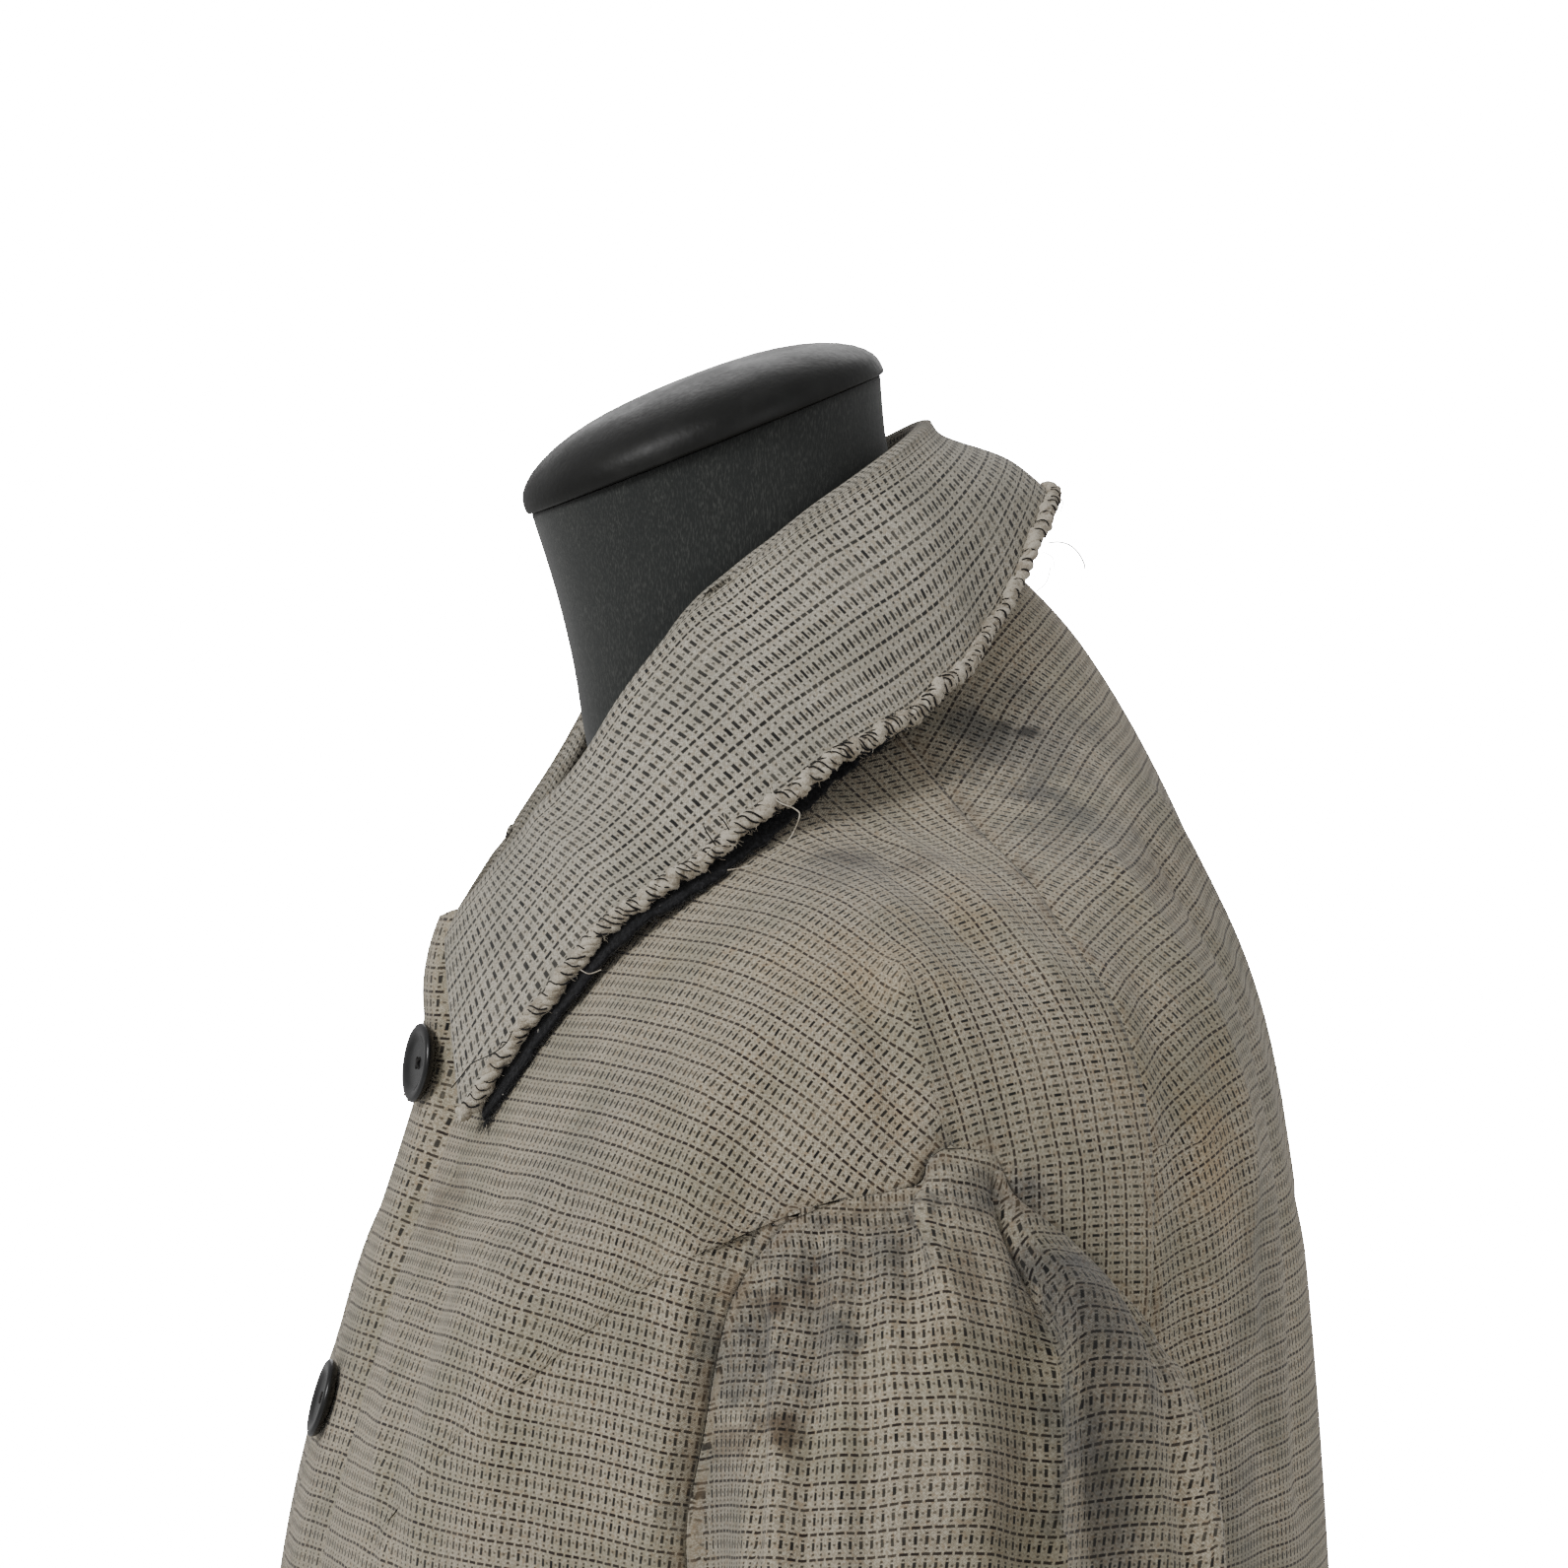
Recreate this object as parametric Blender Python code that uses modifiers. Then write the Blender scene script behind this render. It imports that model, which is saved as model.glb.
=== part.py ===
# A loose hunting jacket of thin woven cloth, buttoned, on a limbless dress form with a pole and a round base.
# Metres, +Z up. The front faces -Y, the wearer's left is +X, and the base stands on the floor at z = 0.
# Every cloth piece is an open surface with a wall of its own. The body pieces share one surface, which
# is read at an angle round the body (0 at the front, 90 at the wearer's left, 180 at the back) and at a
# level between the neckline and the hem.

import math
from collections import namedtuple

import bmesh
import bpy
import numpy as np
from mathutils import Vector

OBJECT_NAME = "hunting_jacket"

WALL = 0.0020
SEAM_GAP = 0.0005
ARMHOLE_GAP = 0.0016
FORM_GAP = 0.0012
COLLAR_WALL = 0.0015
# The left front ends this far past the centre line, and the right one runs this far under it.
OVERLAP = 0.010
UNDERLAP = 0.032
LAP_DROP = 0.0044
GIRTH_RADIUS = 0.19

Level = namedtuple("Level", "width front_y front_z side_y side_z back_y back_z square")
BODY = [
    Level(0.078, -0.1068, 1.306, -0.005, 1.374, 0.050, 1.447, 0.00),
    Level(0.118, -0.1075, 1.264, 0.000, 1.346, 0.093, 1.405, 0.00),
    Level(0.188, -0.1320, 1.195, 0.006, 1.318, 0.125, 1.340, 0.01),
    Level(0.222, -0.1545, 1.115, 0.013, 1.256, 0.147, 1.256, 0.03),
    Level(0.209, -0.1650, 1.030, 0.015, 1.040, 0.162, 1.090, 0.04),
    Level(0.204, -0.1700, 0.920, 0.012, 0.920, 0.164, 0.940, 0.04),
    Level(0.216, -0.1760, 0.815, 0.008, 0.815, 0.168, 0.820, 0.03),
    Level(0.232, -0.1830, 0.712, 0.005, 0.712, 0.178, 0.712, 0.03),
]

# The seam between the front piece and the back, from the neckline to the tip of the wedge.
BackSeam = namedtuple("BackSeam", "level angle")
BACK_SEAM = [
    BackSeam(0.0, 114.5),
    BackSeam(0.6, 112.8),
    BackSeam(1.3, 111.8),
    BackSeam(1.8, 112.2),
    BackSeam(2.3, 113.2),
    BackSeam(2.7, 114.6),
    BackSeam(3.0, 115.5),
    BackSeam(3.3, 113.0),
    BackSeam(3.6, 105.0),
]
SIDE_SEAM_ANGLE = 93.0

# The armhole as it is seen from the side, from the underarm up the front, over the top and down the back.
ArmholePoint = namedtuple("ArmholePoint", "y z")
ARMHOLE_FRONT = [
    ArmholePoint(0.020, 1.032),
    ArmholePoint(-0.016, 1.046),
    ArmholePoint(-0.048, 1.086),
    ArmholePoint(-0.0600, 1.134),
    ArmholePoint(-0.0540, 1.176),
    ArmholePoint(-0.0490, 1.208),
    ArmholePoint(-0.0400, 1.226),
    ArmholePoint(-0.0270, 1.237),
    ArmholePoint(-0.0060, 1.245),
    ArmholePoint(0.0160, 1.256),
]
ARMHOLE_BACK = [
    ArmholePoint(0.0160, 1.256),
    ArmholePoint(0.0290, 1.249),
    ArmholePoint(0.0400, 1.233),
    ArmholePoint(0.0580, 1.217),
    ArmholePoint(0.0760, 1.195),
    ArmholePoint(0.0820, 1.160),
    ArmholePoint(0.0870, 1.125),
    ArmholePoint(0.0820, 1.083),
    ArmholePoint(0.0560, 1.045),
    ArmholePoint(0.0200, 1.032),
]

# A sleeve section lies between its inner point, next to the body, and its outer one.
SleeveRing = namedtuple("SleeveRing", "inner_x inner_z outer_x outer_z front_y back_y")
SLEEVE = [
    SleeveRing(0.2120, 1.029, 0.2450, 1.200, -0.052, 0.084),
    SleeveRing(0.2125, 1.020, 0.2600, 1.130, -0.058, 0.090),
    SleeveRing(0.2130, 1.008, 0.2710, 1.060, -0.061, 0.092),
    SleeveRing(0.2140, 0.990, 0.2790, 1.005, -0.061, 0.092),
    SleeveRing(0.2230, 0.900, 0.2970, 0.905, -0.060, 0.087),
    SleeveRing(0.2400, 0.810, 0.3150, 0.812, -0.064, 0.078),
    SleeveRing(0.2580, 0.718, 0.3300, 0.720, -0.068, 0.068),
]
SLEEVE_FLOW = 0.016
SLEEVE_SQUARE = 0.04

# The collar from the centre back to its front edge: where it meets the neckline, its fold line and its
# outer edge.
CollarRow = namedtuple("CollarRow", "neck_angle fold_x fold_y fold_z edge_x edge_y edge_z bulge lift right_back")
COLLAR = [
    CollarRow(180.0, 0.0000, 0.0453, 1.4749, 0.000, 0.0866, 1.4520, 0.003, 0.0060, 0.000),
    CollarRow(148.0, 0.0436, 0.0297, 1.4641, 0.068, 0.0553, 1.4072, 0.004, 0.0055, 0.000),
    CollarRow(118.0, 0.0640, -0.0084, 1.4373, 0.104, 0.0266, 1.3820, 0.005, 0.0070, 0.000),
    CollarRow(92.0, 0.0650, -0.0394, 1.4129, 0.117, -0.0022, 1.3660, 0.005, 0.0070, 0.003),
    CollarRow(62.0, 0.0530, -0.0680, 1.3707, 0.121, -0.0430, 1.3366, 0.005, 0.0018, 0.005),
    CollarRow(38.0, 0.0340, -0.0890, 1.3419, 0.106, -0.0751, 1.3112, 0.003, 0.0007, 0.005),
    CollarRow(13.0, 0.0120, -0.1038, 1.3187, 0.072, -0.1109, 1.2567, 0.001, 0.0006, 0.003),
]
COLLAR_CENTRE = (0.0, -0.022)
ROLL_RADIUS = 0.0050
COLLAR_SEAM_IN = 0.0044
COLLAR_LAP_IN = 0.0050
COLLAR_PLY_GAP = 0.0012
UNDER_END_IN = 0.012
UNDER_TRIM = 0.002
# Towards the front the under-collar reaches past the frayed edge.
UNDER_REACH = 0.0068
FRAY_RADIUS = 0.0026
FRAY_GAP = 0.0007
FRAY_WAVES = 19
FRAY_WAVE = 0.0006

# The button stand is a flat band that stands proud of the fronts, most of all below the collar.
PlacketRow = namedtuple("PlacketRow", "height rise half_width")
PLACKET = [
    PlacketRow(0.700, 0.0025, 0.028),
    PlacketRow(1.120, 0.0028, 0.028),
    PlacketRow(1.200, 0.0048, 0.028),
    PlacketRow(1.250, 0.0075, 0.024),
    PlacketRow(1.300, 0.0080, 0.0165),
]

# Folds of the body: a soft ridge or trough between two places, given by angle and height.
BodyFold = namedtuple("BodyFold", "angle_a height_a angle_b height_b half_width depth")
BODY_FOLDS = [
    BodyFold(90.0, 1.305, 91.0, 1.262, 0.012, 0.0030),
    BodyFold(45.0, 1.215, 43.0, 1.000, 0.016, 0.0030),
    BodyFold(56.0, 1.200, 57.0, 0.980, 0.015, -0.0030),
    BodyFold(134.0, 1.220, 130.0, 1.000, 0.018, -0.0035),
    BodyFold(156.0, 1.215, 158.0, 1.000, 0.022, 0.0025),
    BodyFold(-45.0, 1.205, -42.0, 1.000, 0.016, 0.0030),
    BodyFold(-57.0, 1.190, -58.0, 0.980, 0.015, -0.0030),
    BodyFold(-136.0, 1.210, -131.0, 1.000, 0.018, -0.0035),
    BodyFold(-158.0, 1.240, -160.0, 1.000, 0.018, 0.0025),
    BodyFold(-90.0, 1.305, -91.0, 1.262, 0.012, 0.0030),
]

# Long flutes that open towards the hem.
Flute = namedtuple("Flute", "angle half_width start_z depth")
FLUTES = [
    Flute(28.0, 0.026, 1.02, 0.006),
    Flute(52.0, 0.022, 1.00, -0.005),
    Flute(76.0, 0.026, 0.96, 0.008),
    Flute(106.0, 0.026, 0.98, -0.006),
    Flute(130.0, 0.028, 1.04, 0.008),
    Flute(154.0, 0.022, 1.00, -0.006),
    Flute(179.0, 0.026, 1.02, 0.007),
    Flute(-31.0, 0.026, 1.00, 0.006),
    Flute(-56.0, 0.024, 1.03, -0.006),
    Flute(-80.0, 0.026, 0.98, 0.007),
    Flute(-108.0, 0.024, 0.96, -0.005),
    Flute(-133.0, 0.027, 1.02, 0.007),
    Flute(-156.0, 0.022, 0.98, -0.005),
]

# Folds of a sleeve, by its angle (0 at the outer side, 90 at the front) and by how far down it they lie.
SleeveFold = namedtuple("SleeveFold", "angle_a down_a angle_b down_b half_width depth")
SLEEVE_FOLDS = [
    SleeveFold(6.0, 0.020, 2.0, 0.100, 0.010, -0.0045),
    SleeveFold(-22.0, 0.010, -20.0, 0.260, 0.017, 0.0050),
    SleeveFold(-58.0, 0.030, -48.0, 0.230, 0.016, -0.0080),
    SleeveFold(40.0, 0.050, 30.0, 0.250, 0.018, 0.0030),
    SleeveFold(20.0, 0.300, -30.0, 0.340, 0.014, -0.0045),
    SleeveFold(70.0, 0.240, 20.0, 0.290, 0.014, 0.0040),
    SleeveFold(-60.0, 0.360, -10.0, 0.400, 0.014, 0.0040),
]

BUTTON_RADIUS = 0.0125
BUTTON_THICK = 0.0036
BUTTON_TOP_Z = 1.2712
BUTTON_STEP = 0.1040
BUTTON_COUNT = 5
BUTTON_GAP = 0.0004
BUTTON_X = 0.009
BUTTON_SPAN = 0.14

# The neck of the form, tilted forward, and its cap.
NECK_TILT = math.radians(22.0)
NECK_TOP = Vector((0.0, -0.0248, 1.4665))
CAP_EDGE = 0.0605
CAP_RISE = 0.0220
FORM_LOW_Z = 0.7850
# Neck rings: how far below the neck's top, half width, half depth and tilt in degrees.
NECK_RINGS = [
    (0.000, 0.0570, 0.0590, 22.0),
    (0.025, 0.0545, 0.0575, 27.0),
    (0.050, 0.0550, 0.0600, 33.0),
    (0.085, 0.0580, 0.0720, 42.0),
]
NECK_LEAN = 0.22
# Torso rings: level on the body, how far inside the cloth, and how much further in at the sides.
FORM_RINGS = [
    (0.50, 0.006, 0.000),
    (0.80, 0.001, 0.000),
    (1.10, 0.0012, 0.000),
    (1.50, 0.0008, 0.000),
    (1.90, 0.0010, 0.001),
    (2.30, 0.003, 0.016),
    (2.80, 0.006, 0.034),
    (3.40, 0.012, 0.036),
    (4.20, 0.024, 0.028),
    (5.00, 0.040, 0.024),
    (5.70, 0.036, 0.016),
    (6.20, 0.040, 0.014),
]
FORM_FRONT_IN = 0.007
POLE_RADIUS = 0.016
BASE_RADIUS = 0.212
BASE_THICK = 0.014

BODY_TABLE = np.array(BODY)


def clear_scene():
    for item in list(bpy.data.objects):
        bpy.data.objects.remove(item, do_unlink=True)


def material(name, colour, roughness, metallic=0.0):
    made = bpy.data.materials.new(name)
    made.use_nodes = True
    surface = made.node_tree.nodes["Principled BSDF"]
    surface.inputs["Base Color"].default_value = (*colour, 1.0)
    surface.inputs["Roughness"].default_value = roughness
    surface.inputs["Metallic"].default_value = metallic
    return made


def hermite(part, start, leave, end, arrive):
    square, cube = part**2, part**3
    return (
        (2 * cube - 3 * square + 1) * start
        + (cube - 2 * square + part) * leave
        + (3 * square - 2 * cube) * end
        + (cube - square) * arrive
    )


def through(rows, place):
    # A smooth curve through the rows of a table, read at the row number `place`.
    low = np.clip(np.floor(place).astype(int), 0, len(rows) - 2)
    part = (place - low).reshape(place.shape + (1,) * (rows.ndim - 1))
    before, start = rows[np.maximum(low - 1, 0)], rows[low]
    end, after = rows[low + 1], rows[np.minimum(low + 2, len(rows) - 1)]
    return hermite(part, start, (end - before) / 2, end, (after - start) / 2)


def through_sections(sections, place):
    # The same for sections of many points: point i is read at its own place[i].
    rows = place * (len(sections) - 1)
    low = np.clip(np.floor(rows).astype(int), 0, len(sections) - 2)
    column = np.arange(sections.shape[1])
    start, end = sections[low, column], sections[low + 1, column]
    before = sections[np.maximum(low - 1, 0), column]
    after = sections[np.minimum(low + 2, len(sections) - 1), column]
    first = (low == 0)[:, None]
    leave = np.where(first, end - start, (end - before) / 2)
    return hermite((rows - low)[:, None], start, leave, end, (after - start) / 2)


def unit(vectors):
    return vectors / np.linalg.norm(vectors, axis=-1, keepdims=True)


def smooth_step(low, high, value):
    part = np.clip((value - low) / (high - low), 0.0, 1.0)
    return part * part * (3 - 2 * part)


def body_base(angle, level):
    # The body surface without folds.
    row = through(BODY_TABLE, level)
    width, front_y, front_z, side_y, side_z, back_y, back_z, square = row.T
    forward, sideways = np.cos(angle), np.sin(angle)
    x = width * (sideways + square * np.sin(3 * angle)) / (1 - square)
    along = (forward - square * np.cos(3 * angle)) / (1 - square)
    reach = np.where(forward > 0, side_y - front_y, back_y - side_y)
    drop = np.where(forward > 0, front_z, back_z) - side_z
    return np.stack([x, side_y - reach * along, side_z + drop * forward**2], axis=-1)


def body_normal(angle, level):
    step = 0.002
    round_body = body_base(angle + step, level) - body_base(angle - step, level)
    last = len(BODY) - 1
    down_body = body_base(angle, np.minimum(level + step, last)) - body_base(
        angle, np.maximum(level - step, 0)
    )
    return unit(np.cross(down_body, round_body))


def near_segment(across, up, ends, half_width):
    # 1 on the line between the two ends and falling to 0 to each side of it.
    start, end = np.array(ends[:2]), np.array(ends[2:])
    run = end - start
    away_x, away_y = across - start[0], up - start[1]
    along = np.clip((away_x * run[0] + away_y * run[1]) / (run @ run), 0.0, 1.0)
    apart = np.hypot(away_x - along * run[0], away_y - along * run[1])
    return np.exp(-((apart / half_width) ** 2))


def body_folds(angle, base):
    height = base[..., 2]
    heights, rises, half_widths = np.array(PLACKET).T
    across = np.where(base[..., 1] < 0, base[..., 0], 1.0) / np.interp(height, heights, half_widths)
    total = np.interp(height, heights, rises) * np.exp(-(across**6))
    for fold in BODY_FOLDS:
        turn = np.remainder(angle - math.radians(fold.angle_a) + math.pi, 2 * math.pi) - math.pi
        lean = math.radians(fold.angle_b - fold.angle_a) * GIRTH_RADIUS
        ends = (0.0, fold.height_a, lean, fold.height_b)
        total += fold.depth * near_segment(turn * GIRTH_RADIUS, height, ends, fold.half_width)
    for flute in FLUTES:
        turn = np.remainder(angle - math.radians(flute.angle) + math.pi, 2 * math.pi) - math.pi
        low_z = BODY[-1].side_z
        open_here = np.clip((flute.start_z - height) / (flute.start_z - low_z), 0.0, 1.0)
        wave = np.exp(-((turn * GIRTH_RADIUS / flute.half_width) ** 2))
        total += flute.depth * open_here**1.3 * wave
    return total


def body_point(angle, level, lift=0.0):
    base = body_base(angle, level)
    raised = body_folds(angle, base) + lift
    return base + body_normal(angle, level) * raised[..., None]


def angle_at(y, level):
    # The angle on the wearer's left where the body surface at this level has this y.
    _, front_y, _, side_y, _, back_y, _, square = through(BODY_TABLE, level).T
    reach = np.where(y < side_y, side_y - front_y, back_y - side_y)
    along = np.clip((side_y - y) / reach, -1.0, 1.0) * (1 - square)
    forward = along.copy()
    for _ in range(12):
        value = forward * (1 + 3 * square) - 4 * square * forward**3 - along
        forward = forward - value / (1 + 3 * square - 12 * square * forward**2)
    return np.arccos(np.clip(forward, -1.0, 1.0))


def on_body(y, z):
    # The angle and level of a place on the wearer's left that is given from the side.
    low, high = np.full_like(y, 2.0), np.full_like(y, 4.9)
    for _ in range(40):
        middle = (low + high) / 2
        above = body_base(angle_at(y, middle), middle)[..., 2] > z
        low, high = np.where(above, middle, low), np.where(above, high, middle)
    return angle_at(y, low), low


def armhole_branch(points):
    # Angle and level along one half of the armhole, from the underarm or to it.
    places = np.linspace(0.0, len(points) - 1, 121)
    side = through(np.array(points), places)
    return on_body(side[:, 0], side[:, 1])


ARM_FRONT = armhole_branch(ARMHOLE_FRONT)
ARM_BACK = armhole_branch(ARMHOLE_BACK)
ARM_TOP_LEVEL = float(ARM_FRONT[1][-1])
ARM_TOP_ANGLE = float(ARM_FRONT[0][-1])
ARM_LOW_LEVEL = float(ARM_FRONT[1][0])


def front_arm_angle(level):
    return np.interp(level, ARM_FRONT[1][::-1], ARM_FRONT[0][::-1])


def back_arm_angle(level):
    return np.interp(level, ARM_BACK[1], ARM_BACK[0])


def back_seam_angle(level):
    table = np.array(BACK_SEAM)
    places = np.linspace(0.0, len(table) - 1, 141)
    curve = through(table, places)
    return np.radians(np.interp(level, curve[:, 0], curve[:, 1]))


def wedge_tip_level():
    levels = np.linspace(ARM_TOP_LEVEL + 0.05, BACK_SEAM[-1].level, 400)
    open_wedge = back_seam_angle(levels) > back_arm_angle(levels)
    return float(levels[np.argmin(open_wedge)])


WEDGE_TIP = wedge_tip_level()
HEM_LEVEL = float(len(BODY) - 1)
LEVEL_STEP = 0.00001


def girth_angle(distance, angle, level):
    # The turn round the body that covers this distance.
    step = 0.01
    span = body_base(angle + step, level) - body_base(angle - step, level)
    return distance * 2 * step / np.linalg.norm(span, axis=-1)


def armhole_levels(branch):
    # Levels of the rows that end at the armhole, where the sleeve's own columns meet it.
    return np.interp(np.linspace(0, 1, ARM_ROWS + 1), np.linspace(0, 1, len(branch)), branch)


# Rows of the grids. Pieces that meet share their rows.
UPPER_ROWS, ARM_ROWS, SKIRT_ROWS = 8, 10, 8
UPPER_LEVELS = np.linspace(0.0, ARM_TOP_LEVEL, UPPER_ROWS + 1)[:-1]
SKIRT_LEVELS = np.linspace(ARM_LOW_LEVEL, HEM_LEVEL, SKIRT_ROWS + 1)[1:]
BACK_ARM_LEVELS = np.sort(np.append(armhole_levels(ARM_BACK[1]), WEDGE_TIP))
FRONT_LEVELS = np.concatenate([UPPER_LEVELS, armhole_levels(ARM_FRONT[1][::-1]), SKIRT_LEVELS])
BACK_LEVELS = np.concatenate([UPPER_LEVELS, BACK_ARM_LEVELS, SKIRT_LEVELS])
WEDGE_LEVELS = BACK_LEVELS[BACK_LEVELS <= WEDGE_TIP]


def level_of(down, levels):
    return np.interp(down, np.linspace(0, 1, len(levels)), levels)


def placed_grid(cloth, columns, rows, point):
    # Adds a grid whose points lie where point(across, down) puts them; both run from 0 to 1.
    made = bmesh.ops.create_grid(cloth, x_segments=columns, y_segments=rows, size=0.5)
    verts = made["verts"]
    flat = np.array([vert.co[:2] for vert in verts]) + 0.5
    for vert, place in zip(verts, point(flat[:, 0], flat[:, 1])):
        vert.co = place


def cloth_object(name, cloth, finish, outward, collection, wall=WALL):
    bmesh.ops.remove_doubles(cloth, verts=cloth.verts, dist=0.00001)
    bmesh.ops.recalc_face_normals(cloth, faces=cloth.faces)
    cloth.faces.ensure_lookup_table()
    face = cloth.faces[len(cloth.faces) // 2]
    if face.normal.dot(outward(face.calc_center_median())) < 0:
        bmesh.ops.reverse_faces(cloth, faces=cloth.faces)
    mesh = bpy.data.meshes.new(name)
    cloth.to_mesh(mesh)
    cloth.free()
    mesh.shade_smooth()
    mesh.materials.append(finish)
    made = bpy.data.objects.new(name, mesh)
    collection.objects.link(made)
    thickness = made.modifiers.new("wall", "SOLIDIFY")
    thickness.thickness = wall
    thickness.offset = -1.0
    return made


def away_from_axis(place):
    return Vector((place.x, place.y, 0.0))


def front_piece(name, side, finish, collection):
    # side is 1 for the wearer's left front, which laps over the right one.
    columns, wedge_columns = 14, 4
    side_angle = math.radians(SIDE_SEAM_ANGLE)

    def lap_lift(angle, level):
        if side > 0:
            return 0.0
        x = body_base(angle, level)[..., 0]
        return -LAP_DROP * (1 - smooth_step(OVERLAP + 0.006, OVERLAP + 0.034, x))

    def place(angle, level):
        return body_point(side * angle, level, lap_lift(angle, level))

    def inner_edge(level):
        top = np.full_like(level, ARM_TOP_ANGLE)
        edge = np.where(level < ARM_TOP_LEVEL, top, front_arm_angle(level))
        seam = side_angle - girth_angle(SEAM_GAP / 2, np.full_like(level, side_angle), level)
        return np.where(level > ARM_LOW_LEVEL - LEVEL_STEP, seam, edge)

    def main_point(across, down):
        level = level_of(down, FRONT_LEVELS)
        width = through(BODY_TABLE, level)[:, 0]
        first = -(OVERLAP if side > 0 else UNDERLAP) / width
        angle = first + (inner_edge(level) - first) * across**1.5
        return place(angle, level)

    def wedge_point(across, down):
        level = level_of(down, WEDGE_LEVELS)
        start = np.where(level < ARM_TOP_LEVEL, ARM_TOP_ANGLE, back_arm_angle(level))
        end = np.maximum(back_seam_angle(level), start)
        return place(start + (end - start) * across, level)

    cloth = bmesh.new()
    placed_grid(cloth, columns, len(FRONT_LEVELS) - 1, main_point)
    placed_grid(cloth, wedge_columns, len(WEDGE_LEVELS) - 1, wedge_point)
    return cloth_object(name, cloth, finish, away_from_axis, collection)


def back_edge(level):
    side_angle = math.radians(SIDE_SEAM_ANGLE)
    seam = back_seam_angle(level)
    seam = seam + girth_angle(SEAM_GAP, seam, level)
    side = np.full_like(level, side_angle)
    side = side + girth_angle(SEAM_GAP / 2, side, level)
    edge = np.where(level < WEDGE_TIP + LEVEL_STEP, seam, back_arm_angle(level))
    return np.where(level > ARM_LOW_LEVEL - LEVEL_STEP, side, edge)


def back_piece(finish, collection):
    def point(across, down):
        level = level_of(down, BACK_LEVELS)
        half = math.pi - back_edge(level)
        return body_point(math.pi + half * (2 * across - 1), level)

    cloth = bmesh.new()
    placed_grid(cloth, 18, len(BACK_LEVELS) - 1, point)
    return cloth_object("back", cloth, finish, away_from_axis, collection)


def armhole_loop(turn):
    # The left armhole on the body, at turns round the sleeve: 0 at the top, pi at the underarm, plus at
    # the front.
    front = np.interp(1 - np.abs(turn) / math.pi, np.linspace(0, 1, 121), ARM_FRONT[0])
    front_level = np.interp(1 - np.abs(turn) / math.pi, np.linspace(0, 1, 121), ARM_FRONT[1])
    back = np.interp(np.abs(turn) / math.pi, np.linspace(0, 1, 121), ARM_BACK[0])
    back_level = np.interp(np.abs(turn) / math.pi, np.linspace(0, 1, 121), ARM_BACK[1])
    angle = np.where(turn > 0, front, back)
    return angle, np.where(turn > 0, front_level, back_level)


def sleeve_sections(turn):
    # Section points of the left sleeve for these turns, from the armhole to the cuff.
    angle, level = armhole_loop(turn)
    seam = body_point(angle, level)
    sections = []
    for ring in SLEEVE:
        forward, sideways = np.cos(turn), np.sin(turn)
        out = (forward + SLEEVE_SQUARE * -np.cos(3 * turn)) / (1 - SLEEVE_SQUARE)
        fore = (sideways + SLEEVE_SQUARE * np.sin(3 * turn)) / (1 - SLEEVE_SQUARE)
        x = (ring.inner_x + ring.outer_x) / 2 + (ring.outer_x - ring.inner_x) / 2 * out
        z = (ring.inner_z + ring.outer_z) / 2 + (ring.outer_z - ring.inner_z) / 2 * out
        y = (ring.front_y + ring.back_y) / 2 + (ring.front_y - ring.back_y) / 2 * fore
        sections.append(np.stack([x, y, z], axis=-1))
    flow = unit(sections[0] - seam)
    return np.stack([seam + flow * ARMHOLE_GAP, seam + flow * SLEEVE_FLOW, *sections])


def sleeve_base(turn, place):
    # The smooth sleeve surface; place runs from 0 at the armhole to 1 at the cuff.
    return through_sections(sleeve_sections(turn), place)


def sleeve_point(turn, place, mirrored):
    base = sleeve_base(turn, place)
    step = 0.01
    round_arm = sleeve_base(turn + step, place) - sleeve_base(turn - step, place)
    down_arm = sleeve_base(turn, np.minimum(place + step, 1)) - sleeve_base(
        turn, np.maximum(place - step, 0)
    )
    normal = unit(np.cross(down_arm, round_arm))
    top = sleeve_base(np.zeros_like(turn), np.zeros_like(place))[:, 2]
    down = top - base[:, 2]
    raised = np.zeros_like(turn)
    for fold in SLEEVE_FOLDS:
        ends = (math.radians(fold.angle_a) * 0.06, fold.down_a, math.radians(fold.angle_b) * 0.06, fold.down_b)
        raised += fold.depth * near_segment(turn * 0.06, down, ends, fold.half_width)
    seam_ease = smooth_step(0.0, 0.14, place)
    made = base + normal * (raised * seam_ease)[:, None]
    return made * np.array([-1.0, 1.0, 1.0]) if mirrored else made


def sleeve_piece(name, mirrored, finish, collection):
    def point(across, down):
        return sleeve_point(math.pi * (1 - 2 * across), down, mirrored)

    side = -1.0 if mirrored else 1.0
    middle = Vector((side * 0.262, 0.012, 0.0))

    def outward(place):
        return Vector((place.x - middle.x, place.y - middle.y, 0.0))

    cloth = bmesh.new()
    placed_grid(cloth, 2 * ARM_ROWS, 18, point)
    return cloth_object(name, cloth, finish, outward, collection)


def collar_table(length):
    # The collar's sizes at places along it, 0 at its right front edge and 1 at its left one.
    rows = np.array(COLLAR)
    mirrored = rows[:0:-1] * np.array([-1, -1, 1, 1, -1, 1, 1, 1, 1, 1])
    mirrored[:, 0] += 360
    mirrored[:, 2] += mirrored[:, 9]
    return through(np.concatenate([mirrored, rows]), length * (2 * len(COLLAR) - 2))


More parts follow.
